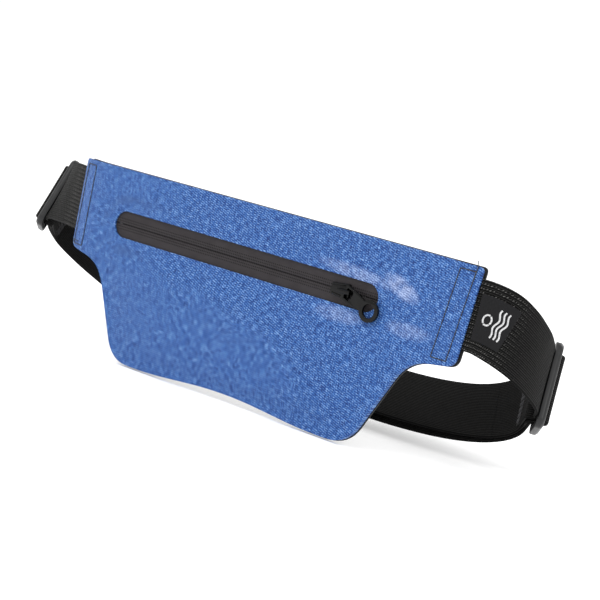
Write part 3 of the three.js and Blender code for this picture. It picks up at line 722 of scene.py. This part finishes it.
def dense(points, step=CLOTH_GRID):
    """A closed line with extra points so that none are further apart than the step."""
    line = []
    for i, end in enumerate(points):
        start = points[i - 1]
        count = max(1, math.ceil((end - start).length / step))
        line.extend(tuple(start.lerp(end, k / count)) for k in range(count))
    return line


def window_outline():
    r = WINDOW_HEIGHT / 2
    points = []
    for middle, first in ((WINDOW_RIGHT - r, -90), (WINDOW_LEFT + r, 90)):
        for k in range(15):
            angle = math.radians(first + 180 * k / 14)
            points.append(Vector((middle + r * math.cos(angle), ZIP_Z + r * math.sin(angle))))
    return points


def edge_loop(outline):
    """The inward way at each point of a closed outline that runs clockwise."""
    ways = {}
    for i, here in enumerate(outline):
        side = Vector(outline[(i + 1) % len(outline)]) - Vector(outline[i - 1])
        ways[(round(here[0], 6), round(here[1], 6))] = Vector((side.y, -side.x)).normalized()
    return ways


def panel(name, surface, corners, holes, material, hem=0.0):
    """A closed sheet of the fabric's thickness over a surface y(x, z).

    With a hem, its outer edge is folded back by that much round the chamber.
    """
    outline = dense(eased(corners, 8))
    flat, faces = cloth_cut(outline, holes)
    used = sorted({i for face in faces for i in face})
    renumbered = {old: new for new, old in enumerate(used)}
    flat = [flat[i] for i in used]
    faces = [[renumbered[i] for i in face] for face in faces]
    count = len(flat)
    front = [bend(x, surface(x, z), z) for x, z in flat]
    back = [bend(x, surface(x, z) + FABRIC, z) for x, z in flat]
    sides = {}
    for face in faces:
        for a, b in zip(face, face[1:] + face[:1]):
            sides[(a, b)] = True
    border = [(a, b) for a, b in sides if (b, a) not in sides]
    solid = Solid()
    behind = [[i + count for i in reversed(face)] for face in faces]
    if not hem:
        rim = [[a, b, b + count, a + count] for a, b in border]
        solid.add(front + back, faces + behind + rim, flat * 2)
        return solid.object(name, material, 50)

    inward = edge_loop(outline)
    lip, numbers = [], {}
    for i, (x, z) in enumerate(flat):
        way = inward.get((round(x, 6), round(z, 6)))
        if way is None:
            continue
        held = smoothstep(min(max((CHAMBER_HALF_WIDTH - abs(x)) / (3 * MM), 0), 1))
        deep = surface(x, z) + FABRIC + 0.05 * MM + hem * held
        near = Vector((x, z)) + way * HEM_THICKNESS
        back[i] = bend(near.x, surface(x, z) + FABRIC, near.y)
        numbers[i] = 2 * count + len(lip)
        lip += [bend(x, deep, z), bend(near.x, deep, near.y)]
    rim = []
    for a, b in border:
        if a in numbers and b in numbers:
            steps = [(i, numbers[i], numbers[i] + 1, i + count) for i in (a, b)]
            rim += [[steps[0][k], steps[1][k], steps[1][k + 1], steps[0][k + 1]] for k in range(3)]
        else:
            rim.append([a, b, b + count, a + count])
    cloth = flat * 2 + [flat[i] for i in numbers for _ in range(2)]
    solid.add(front + back + lip, faces + behind + rim, cloth)
    return solid.object(name, material, 50)


def flat_area(outline, holes):
    def area(points):
        pairs = zip(points, points[1:] + points[:1])
        return abs(sum(a[0] * b[1] - b[0] * a[1] for a, b in pairs)) / 2
    return area(outline) - sum(area(hole) for hole in holes)


def add_panels():
    hole = dense(window_outline(), 1 * MM)
    front_corners = inset(panel_corners(), BACK_OVERHANG)
    front = panel("cloth_front", front_face, front_corners, [hole], blue_fabric(), HEM)
    back_corners = inset(panel_corners(), 0.3 * MM)
    back = panel("cloth_back", back_face, back_corners, [], backing_fabric())
    stands_for(front, "blue_fabric", "bag", "front_panel")
    stands_for(back, "backing_fabric", "bag", "back_panel")
    front_area = flat_area(dense(eased(front_corners, 8)), [hole])
    back_area = flat_area(dense(eased(back_corners, 8)), [])


# ----------------------------------------------------------------- stitching


def stitches(solid, at, length, normal, radius=THREAD_RADIUS):
    """A row of stitches: each rises from the cloth, lies on it and dips back in.

    at(s) is the point of the cloth s along the row, and normal(s) points away from the cloth.
    """
    count = max(1, round(length / STITCH_PITCH))
    pitch = length / count
    lay = STITCH_LENGTH * pitch / STITCH_PITCH
    rise = ((0.0, -1.2), (0.05, 0.3), (0.18, 0.8), (0.5, 0.95), (0.82, 0.8), (0.95, 0.3), (1.0, -1.2))
    for i in range(count):
        start = i * pitch + (pitch - lay) / 2
        line = []
        for share, height in rise:
            s = start + share * lay
            line.append(at(s) + normal(s) * height * radius)
        tube(solid, line, radius)


def cloth_row(solid, start, end):
    """Stitches on the front panel between two points (x, z)."""
    start, end = Vector(start), Vector(end)
    length = (end - start).length

    def at(s):
        x, z = start.lerp(end, s / length)
        return bend(x, front_face(x, z), z)

    def normal(s):
        x, z = start.lerp(end, s / length)
        return bend(x, front_face(x, z) - 1, z) - bend(x, front_face(x, z), z)

    stitches(solid, at, length, lambda s: normal(s).normalized())


def box_stitch(name, side):
    """A sewn rectangle: the right one's outer row runs over the edge, the left one has a back-tack."""
    solid = Solid()
    outer, inner = side * STITCH_OUTER, side * STITCH_INNER
    lean = 5.3 * MM if side > 0 else -1.8 * MM  # the rows follow the wing's tapered edge
    corners = [(inner, STITCH_TOP), (outer, STITCH_TOP), (outer - lean, STITCH_BOTTOM),
               (inner - lean, STITCH_BOTTOM)]
    for i, corner in enumerate(corners):
        cloth_row(solid, corners[i - 1], corner)
    if side > 0:
        start = (outer - 0.2 * lean, STITCH_TOP - 9 * MM)
        cloth_row(solid, start, (outer + 0.6 * MM, PANEL_HEIGHT - 1.2 * MM))
        tail = [(139.6, -0.3, 109.2), (139.7, -0.7, 110.4), (139.4, -0.5, 111.6), (139.0, -0.1, 112.6)]
        tube(solid, [Vector(p) * MM for p in tail], 0.8 * THREAD_RADIUS)
    else:
        x, z = corners[2]
        turn = (x - 1.2 * MM, z + 2.2 * MM)
        cloth_row(solid, (x + 5 * MM, z + 1.6 * MM), turn)
        cloth_row(solid, turn, (x + 1.5 * MM, z - 0.4 * MM))
    return solid.object(name, THREAD, 60)


def add_box_stitches():
    for name, side in (("right", 1), ("left", -1)):
        made = box_stitch(f"sewn_box_{name}", side)
        stands_for(made, "thread", "bag", f"box_stitch_{name}")


# ------------------------------------------------------------------------ zip

def tape_face(x, off):
    """How far the film's face stands behind its flat plane, `off` away from the seam."""
    roll = 0.22 * MM * math.exp(-((off - SEAM_HALF) / (0.3 * MM)) ** 2)
    ridge = -0.25 * MM * math.exp(-((off - 2.6 * MM) / (1.5 * MM)) ** 2)
    bumps = 0.0
    for middle in TAPE_ROWS:
        near = math.exp(-((off - middle) / (0.38 * MM)) ** 2)
        beat = math.cos(2 * math.pi * x / TAPE_ROW_PITCH)
        bumps -= 0.16 * MM * near * beat
    return roll + ridge + bumps


def zip_tape(name, side):
    """One film-covered tape as a fine grid, from the seam outwards."""
    x0, x1 = WINDOW_LEFT - 3 * MM, WINDOW_RIGHT + 3 * MM
    count = round((x1 - x0) / (0.38 * MM))
    offs = [SEAM_HALF + 0.27 * MM * k for k in range(17)] + [o * MM for o in (5.2, 6.5, 8, 10, 12)]
    points, cloth = [], []
    for i in range(count + 1):
        x = x0 + (x1 - x0) * i / count
        section = [(off, TAPE_Y + max(tape_face(x, off), -0.25 * MM)) for off in offs]
        section += [(offs[-1], TAPE_Y + TAPE_THICKNESS), (offs[0], TAPE_Y + TAPE_THICKNESS)]
        for off, y in section:
            points.append(Vector((x, y, ZIP_Z + side * off)))
            cloth.append((x, ZIP_Z + side * off))
    solid = Solid()
    solid.add(points, ring_faces(count + 1, len(offs) + 2), cloth)
    return solid.object(name, ZIP_FILM, 55)


def zip_coil(name, side):
    """One side of the nylon coil: a row of flattened turns that leave room for the slider's post."""
    solid = Solid()
    x0, x1 = WINDOW_LEFT + 4.4 * MM, COIL_END
    pitch = COIL_PITCH
    radius = 0.36 * MM
    y = TAPE_Y + TAPE_THICKNESS + GAP + 0.65 * MM
    nearest = POST_HALF_HEIGHT + GAP + radius
    for i in range(int((x1 - x0 - pitch) / pitch)):
        x = x0 + pitch * (i + 0.5 + 0.25 * side)
        turn = []
        for k in range(9):
            angle = math.pi * k / 8
            off = nearest + (COIL_HEIGHT - radius - nearest) * (1 - math.sin(angle))
            turn.append(Vector((x + 0.3 * MM * k / 8, y - 0.28 * MM * math.cos(angle), ZIP_Z + side * off)))
        tube(solid, turn, radius, 6)
    core = 0.3 * MM
    edge = Vector((0, 0, side * (COIL_HEIGHT - core)))
    line = [Vector((x0 + (x1 - x0) * k / 40, y, ZIP_Z)) + edge for k in range(41)]
    tube(solid, line, core, 6)
    return solid.object(name, coil_nylon(), 60)


def arch(solid, path, half_width, thickness):
    """A rounded strip along a path in the (x, y) plane, half_width to each side in z."""
    section = eased([
        (-half_width, -thickness, 0.4 * MM), (half_width, -thickness, 0.4 * MM),
        (half_width, thickness, 0.4 * MM), (-half_width, thickness, 0.4 * MM),
    ], 3)
    points = []
    for i, (x, y) in enumerate(path):
        ax, ay = path[max(i - 1, 0)]
        bx, by = path[min(i + 1, len(path) - 1)]
        way = Vector((bx - ax, by - ay, 0)).normalized()
        over = Vector((-way.y, way.x, 0))
        points.extend(Vector((x, y, ZIP_Z + s[0])) + over * s[1] for s in section)
    solid.add(points, ring_faces(len(path), len(section)), [(0, 0)] * len(points))


def add_slider():
    """The slider's plates with rounded rims, flanges at its sides, and a polished crown."""
    body = rounded_copy("slider_body", "slider", 0.38 * MM, SLIDER_METAL, 4)
    details = Solid()
    for side in (-1, 1):  # raised flanges along the front plate
        line = [Vector((SLIDER_AT + x * MM, PLATE_FRONT - 0.05 * MM, ZIP_Z + side * (z - 0.75) * MM))
                for x, z in ((-4.6, 3.2), (-2, 3.5), (1, 3.8), (4.4, 4.1))]
        tube(details, line, 0.55 * MM, 10)
    crown = []
    for k in range(13):
        angle = math.pi * k / 12
        rise = 3.3 * MM * math.sin(angle) ** 0.6
        crown.append((CROWN_X - 3.5 * MM * math.cos(angle), PLATE_FRONT + 0.2 * MM - rise))
    arch(details, crown, 1.15 * MM, 0.5 * MM)
    trim = details.object("slider_crown", SLIDER_METAL, 45)
    stands_for(body, "slider_metal", "zip_slider", "slider_body")
    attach(trim, "zip_slider")


def add_pull():
    tab = rounded_copy("pull_tab", "pull", 0.45 * MM, SLIDER_METAL, 4)
    stands_for(tab, "slider_metal", "zip_pull", "pull_tab")


def add_zip():
    for name, side in (("upper", 1), ("lower", -1)):
        tape = zip_tape(f"film_{name}", side)
        stands_for(tape, "zip_film", "bag", f"zip_tape_{name}")
        coil = zip_coil(f"coil_{name}", side)
        stands_for(coil, "coil_nylon", "bag", f"zip_coil_{name}")
    for end in ("closed", "open"):
        stop = rounded_copy(f"zip_stop_{end}", f"stop_{end}", 0.4 * MM, STOP_METAL)
        stands_for(stop, "stop_metal", "bag", f"zip_stop_{end}")
    add_slider()
    add_pull()


# ----------------------------------------------------------------------- belt

Station = namedtuple("Station", "at along across outward")


def station(side, at, tangent, width):
    along = tangent.normalized()
    across = (width - along * width.dot(along)).normalized()
    return Station(at, along, across, along.cross(across) * side)


def lifted(place, distance):
    return place._replace(at=place.at + place.outward * distance)


def smoothstep(t):
    return t * t * (3 - 2 * t)


class Curve:
    """A cubic Bezier curve."""

    def __init__(self, *handles):
        self.handles = handles

    def point(self, t):
        a, b, c, d = self.handles
        s = 1 - t
        return a * s ** 3 + b * 3 * s * s * t + c * 3 * s * t * t + d * t ** 3

    def tangent(self, t):
        a, b, c, d = self.handles
        s = 1 - t
        return (b - a) * s * s + (c - b) * 2 * s * t + (d - c) * t * t

    def length(self):
        line = [self.point(k / 200) for k in range(201)]
        return sum((b - a).length for a, b in zip(line, line[1:]))


class Belt:
    """One side of the belt: from the wing through the tri-glide to the buckle."""

    def __init__(self, name, side):
        glide = GLIDES[name]
        heading, fall, lean = (math.radians(angle) for angle in glide["turn"])
        leave_wing, reach_glide, leave_glide, reach_buckle = (b * MM for b in glide["bow"])
        tangent = Vector((
            side * math.cos(heading) * math.cos(fall),
            math.sin(heading) * math.cos(fall),
            -math.sin(fall),
        ))
        away = Vector((side * math.sin(heading), -math.cos(heading), 0))
        width = UP * math.cos(lean) + away * math.sin(lean)
        self.name, self.side = name, side
        self.middle = station(side, Vector(glide["at"]) * MM, tangent, width)
        turn = 0 if side > 0 else (PANEL_HALF_WIDTH - BEND_START) / BEND_RADIUS
        wing_way = Vector((side * math.cos(turn), math.sin(turn), 0))
        wing_end = bend(side * PANEL_HALF_WIDTH, LAYER_Y, STRAP_Z)
        reach = GLIDE_REACH + GAP
        self.front = Curve(
            wing_end,
            wing_end + wing_way * leave_wing,
            self.on_glide(-reach - reach_glide),
            self.on_glide(-reach),
        )
        bar = SOCKET_BAR if side > 0 else PLUG_BAR
        buckle_end = Vector((side * bar, BUCKLE_Y, BUCKLE_Z))
        self.rear = Curve(
            self.on_glide(reach),
            self.on_glide(reach + leave_glide),
            buckle_end + Vector((side * reach_buckle, 0, 0)),
            buckle_end,
        )
        self.rear_length = self.rear.length()

    def on_glide(self, t):
        return self.middle.at + self.middle.along * t

    def front_at(self, t):
        across = UP.lerp(self.middle.across, t)
        return station(self.side, self.front.point(t), self.front.tangent(t), across)

    def rear_at(self, t):
        buckle_width = Vector((0, math.sin(BUCKLE_LEAN), math.cos(BUCKLE_LEAN)))
        across = self.middle.across.lerp(buckle_width, smoothstep(t))
        return station(self.side, self.rear.point(t), self.rear.tangent(t), across)

    def return_at(self, t, depth=0.0):
        back = STEP + (2 * HAIRPIN - STEP) * smoothstep(t)
        return lifted(self.rear_at(t), -back - depth)

    def glide_path(self, points):
        places = []
        for i, (t, n) in enumerate(points):
            before, after = points[max(i - 1, 0)], points[min(i + 1, len(points) - 1)]
            at = self.on_glide(t) + self.middle.outward * n
            way = self.middle.along * (after[0] - before[0]) + self.middle.outward * (after[1] - before[1])
            places.append(station(self.side, at, way, self.middle.across))
        return places


def strap_section(half_width, thickness):
    """Section of webbing (across, outwards): thinner in the middle, with full rounded edges."""
    half = thickness / 2
    steps = 14
    points = []
    for way in (1, -1):
        for k in range(steps + 1):
            across = way * (half_width - half) * (2 * k / steps - 1)
            edge = abs(across) / half_width
            points.append((across, way * half * (0.86 + 0.14 * edge ** 6)))
        for k in (1, 2, 3):
            angle = math.pi / 2 - math.pi * k / 4
            edge = half_width - half + half * math.cos(angle)
            points.append((way * edge, way * half * math.sin(angle)))
    return points


def ribbon(name, places, half_width, thickness, material, start=0.0, ripple=0.0):
    """Webbing of a rounded flat section carried along stations."""
    section = strap_section(half_width, thickness)
    points, cloth = [], []
    reach = start
    for i, place in enumerate(places):
        if i:
            reach += (place.at - places[i - 1].at).length
        for across, out in section:
            wavy = ripple * noise.noise(Vector((reach * 90, across * 60, 1.7)))
            points.append(place.at + place.across * across + place.outward * (out + wavy))
            cloth.append((reach, across))
    solid = Solid()
    solid.add(points, ring_faces(len(places), len(section)), cloth)
    return solid.object(name, material, 45)


STEP = LAYER + GAP
GLIDE_LIFT = 2.25 * MM + GAP + LAYER / 2
TURN_T = 1.25 * MM
TURN_N = GLIDE_LIFT + 0.5 * MM
LOOP_TURN = 2.25 * MM + GAP + LAYER / 2 - TURN_T
WRAP_TURN = LOOP_TURN + STEP
SWEEP = TURN_N
SWEEP_T = TURN_T + WRAP_TURN + SWEEP
SPLIT = 0.5  # where the rear webbing is divided, as a share of its length


def arc(t, n, radius, start, end, steps=10):
    points = []
    for k in range(steps + 1):
        angle = math.radians(start + (end - start) * k / steps)
        points.append((t + radius * math.cos(angle), n + radius * math.sin(angle)))
    return points


def wrap_path():
    return [
        (-GLIDE_REACH, 0),
        *arc(-SWEEP_T, TURN_N, SWEEP, 270, 360),
        *arc(-TURN_T, TURN_N, WRAP_TURN, 180, 90),
        *arc(TURN_T, TURN_N, WRAP_TURN, 90, 0),
        *arc(SWEEP_T, TURN_N, SWEEP, 180, 270),
        (GLIDE_REACH, 0),
    ]


def loop_path():
    tuck = 2.5 * MM
    low = -2 * STEP
    return [
        (GLIDE_REACH, -STEP),
        *arc(SWEEP_T, TURN_N, SWEEP + STEP, 270, 180),
        *arc(TURN_T, TURN_N, LOOP_TURN, 0, 90),
        *arc(-TURN_T, TURN_N, LOOP_TURN, 90, 180),
        *arc(-TURN_T - LOOP_TURN + tuck, low + tuck, tuck, 180, 270),
        (GLIDE_REACH, low),
    ]


def spaced(start, end, count, at):
    return [at(start + (end - start) * k / count) for k in range(count + 1)]


def hairpin_places(belt):
    """Webbing that runs round the buckle's bar and back."""
    start = SPLIT + GAP / belt.rear_length
    out = spaced(start, 1, 40, belt.rear_at)
    last = out[-1]
    centre = last.at - last.outward * HAIRPIN
    turn = []
    for k in range(13):
        angle = math.pi * k / 12
        outward_way = last.outward * math.cos(angle) + last.along * math.sin(angle)
        turn.append(last._replace(at=centre + outward_way * HAIRPIN, outward=outward_way))
    back = []
    for place in spaced(1, start, 40, belt.return_at):
        back.append(place._replace(outward=-place.outward))
    return out[:-1] + turn + back[1:]


def tri_glide(name, belt):
    """A moulded frame with a chamfered rim and a rounded centre bar."""
    place = lifted(belt.middle, GLIDE_LIFT)

    def at(t, n, a):
        return place.at + place.along * t + place.outward * n + place.across * a

    half_bar, half_end, half_depth = 2.25 * MM, 2.0 * MM, 2.25 * MM
    profile = eased([
        (-1.0, -1.0, 0.25), (1.0, -1.0, 0.35), (1.0, 0.35, 0.3), (0.35, 1.0, 0.3), (-1.0, 1.0, 0.25),
    ], 4)
    w, h = GLIDE_HALF_WIDTH - half_bar, GLIDE_HALF_LENGTH - half_end
    r = 3.2 * MM
    points, rings = [], 0
    corners = ((w - r, h - r, 0), (r - w, h - r, 90), (r - w, r - h, 180), (w - r, r - h, 270))
    for middle_t, middle_a, first in corners:
        for k in range(9):
            angle = math.radians(first + 90 * k / 8)
            c, s = math.cos(angle), math.sin(angle)
            half = math.hypot(c * half_bar, s * half_end)
            for p, q in profile:
                grow = r + p * half
                points.append(at(middle_t + c * grow, q * half_depth, middle_a + s * grow))
            rings += 1
    size = len(profile)
    faces = ring_faces(rings, size, False)
    last = (rings - 1) * size
    faces += [[last + k, last + (k + 1) % size, (k + 1) % size, k] for k in range(size)]
    solid = Solid()
    solid.add(points, faces, [(0, 0)] * len(points))

    bar = eased([(-2.25, -1.1, 0.7), (2.25, -1.1, 0.7), (2.25, 1.1, 0.7), (-2.25, 1.1, 0.7)], 3)
    bar_points = [at(t * MM, n * MM, a * MM) for a in (-20.6, 20.6) for t, n in bar]
    solid.add(bar_points, ring_faces(2, len(bar)), [(0, 0)] * len(bar_points))
    return solid.object(name, ACETAL, 35)


def strap_rows(name, belt, shares, depth, face):
    """Rows of stitches across the webbing at distances behind the glide."""
    solid = Solid()
    for distance in shares:
        place = belt.return_at(distance / belt.rear_length, depth)
        edge = STRAP_HALF_WIDTH - 1.5 * MM
        surface = place.at + place.outward * face * (LAYER / 2 * 0.9)

        def at(s, surface=surface, place=place):
            return surface + place.across * (s - edge)

        stitches(solid, at, 2 * edge, lambda s, place=place: place.outward * face, 0.3 * MM)
    return solid.object(name, THREAD, 60)


def add_belt_side(name, side):
    belt = Belt(name, side)
    glide = f"{name}_glide"
    inner = []
    for k in range(5):
        x = STRAP_INNER_END + (PANEL_HALF_WIDTH - 1 * MM - STRAP_INNER_END) * k / 4
        here = bend(side * x, LAYER_Y, STRAP_Z)
        ahead = bend(side * (x + 1 * MM), LAYER_Y, STRAP_Z)
        inner.append(station(side, here, ahead - here, UP))
    front = ribbon(f"belt_front_{name}", inner + spaced(0, 1, 60, belt.front_at),
                   STRAP_HALF_WIDTH, LAYER, WEBBING_LOOSE, -17 * MM, 0.25 * MM)
    stands_for(front, "webbing", None, f"strap_front_{name}")
    row(belt.front_at(0.34).at)
    row(belt.front_at(1).at)
    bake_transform(front)

    for kind, path in (("wrap", wrap_path()), ("loop", loop_path())):
        piece = ribbon(f"belt_{kind}_{name}", belt.glide_path(path), STRAP_HALF_WIDTH, LAYER, WEBBING)
        stands_for(piece, "webbing", glide, f"strap_{kind}_{name}")

    frame_piece = tri_glide(f"glide_{name}", belt)
    stands_for(frame_piece, "acetal", glide, f"tri_glide_{name}")

    moving = (STUB_LENGTH + 3 * MM) / belt.rear_length
    for kind, at in (("outer", belt.rear_at), ("inner", belt.return_at)):
        piece = ribbon(f"belt_{kind}_{name}", spaced(0, SPLIT, 60, at), STRAP_HALF_WIDTH, LAYER, WEBBING)
        stands_for(piece, "webbing", None, f"strap_{kind}_{name}")
        row(belt.rear_at(moving).at)
        row(belt.rear_at(SPLIT).at)
        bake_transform(piece)

    tail = ribbon(f"belt_tail_{name}",
                  spaced(0, STUB_LENGTH / belt.rear_length, 14, lambda t: belt.return_at(t, STEP)),
                  STRAP_HALF_WIDTH, LAYER, WEBBING_LOOSE)
    stands_for(tail, "webbing", glide, f"strap_stub_{name}")
    rows = strap_rows(f"tail_rows_{name}", belt, (9 * MM, 12.5 * MM, 16 * MM, 19.5 * MM), STEP, -1)
    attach(rows, glide)

    hairpin = ribbon(f"belt_hairpin_{name}", hairpin_places(belt), STRAP_HALF_WIDTH, LAYER, WEBBING)
    if side > 0:
        stands_for(hairpin, "webbing", "bag", f"strap_hairpin_{name}")
    else:
        stands_for(hairpin, "webbing", None, f"strap_hairpin_{name}")
        row(belt.rear_at(0.55).at)
        row(belt.rear_at(0.93).at)
        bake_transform(hairpin)
    return belt


def row(point):
    return tuple(point + ORIGIN)


# ---------------------------------------------------------------------- label

LABEL_HALF_HEIGHT = 12 * MM
LABEL_THICKNESS = 0.5 * MM
LABEL_LIFT = 0.55 * MM


def add_label(belt):
    """A sewn label with a plain printed motif of three waves and a ring."""
    lift = LAYER / 2 + LABEL_LIFT + LABEL_THICKNESS / 2
    first, last = 0.35 / 24, 6.35 / 24
    places = spaced(first, last, 24, lambda t: lifted(belt.front_at(t), lift))
    label = ribbon("label", places, LABEL_HALF_HEIGHT, LABEL_THICKNESS, label_fabric())
    stands_for(label, "label_fabric", "bag", "strap_label")

    def on_label(share, across):
        place = lifted(belt.front_at(first + (last - first) * share), lift + LABEL_THICKNESS / 2)
        return place.at + place.across * across

    ink = Solid()
    for share in (0.56, 0.68, 0.80):
        wave = []
        for k in range(41):
            across = (-7.5 + 15 * k / 40) * MM
            wave.append(on_label(share + 0.035 * math.sin(across / (1.3 * MM)), across))
        tube(ink, wave, 0.5 * MM, 6)
    ring = [on_label(0.3 + 0.115 * math.cos(a), 2.7 * MM * math.sin(a))
            for a in (2 * math.pi * k / 24 for k in range(25))]
    tube(ink, ring, 0.5 * MM, 6)
    printed = ink.object("label_print", label_ink(), 60)
    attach(printed, "bag")


# --------------------------------------------------------------------- buckle


def add_buckle():
    for node, name, body, width in (
        ("buckle_socket", "socket", "bag", 0.8 * MM),
        ("buckle_plug", "plug_frame", "plug", 0.6 * MM),
        ("latch_arm_upper", "arm_upper", "upper_arm", 0.4 * MM),
        ("latch_arm_lower", "arm_lower", "lower_arm", 0.4 * MM),
    ):
        piece = rounded_copy(node, name, width, ACETAL)
        stands_for(piece, "acetal", body, node)


# --------------------------------------------------------------------- studio


def area_light(name, place, target, size, power):
    data = bpy.data.lights.new(name, "AREA")
    data.shape = "DISK"
    data.size = size
    data.energy = power
    light = bpy.data.objects.new(name, data)
    light.location = place
    light.rotation_euler = (Vector(target) - Vector(place)).to_track_quat("-Z", "Y").to_euler()
    bpy.context.scene.collection.objects.link(light)


def add_studio():
    mesh = bpy.data.meshes.new("floor")
    half = 30.0
    corners = [(-half, -half, 0), (half, -half, 0), (half, half, 0), (-half, half, 0)]
    mesh.from_pydata(corners, [], [[0, 1, 2, 3]])
    floor = finished("floor", mesh, floor_paint(), 30)
    floor.location.z = -0.0004
    area_light("key", (0.1, -1.4, 1.5), (0, 0, 0.05), 1.0, 9)
    area_light("glint", (-0.1, -0.9, 1.3), (0, 0, 0.05), 0.09, 3.0)
    area_light("fill", (1.6, -0.9, 0.9), (0, 0, 0.05), 0.7, 5)
    area_light("rear", (0.3, 1.4, 1.2), (0, 0, 0.05), 0.9, 7)
    world = bpy.data.worlds.new("studio")
    world.use_nodes = True
    world.node_tree.nodes["Background"].inputs["Color"].default_value = (1, 1, 1, 1)
    world.node_tree.nodes["Background"].inputs["Strength"].default_value = 1.04
    bpy.context.scene.world = world
    bpy.context.scene.view_settings.view_transform = "Standard"


# ---------------------------------------------------------------------- build

THREAD = thread()
ZIP_FILM = zip_film()
SLIDER_METAL = slider_metal()
STOP_METAL = stop_metal()
ACETAL = acetal()
WEBBING = webbing()
WEBBING_LOOSE = webbing("webbing_loose", 30 * MM)

add_camera()
add_studio()
add_panels()
add_box_stitches()
add_zip()
right_belt = add_belt_side("right", 1)
add_belt_side("left", -1)
add_label(right_belt)
add_buckle()
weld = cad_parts["chamber_weld"]
weld.data.materials.clear()
weld.data.materials.append(weld_film())
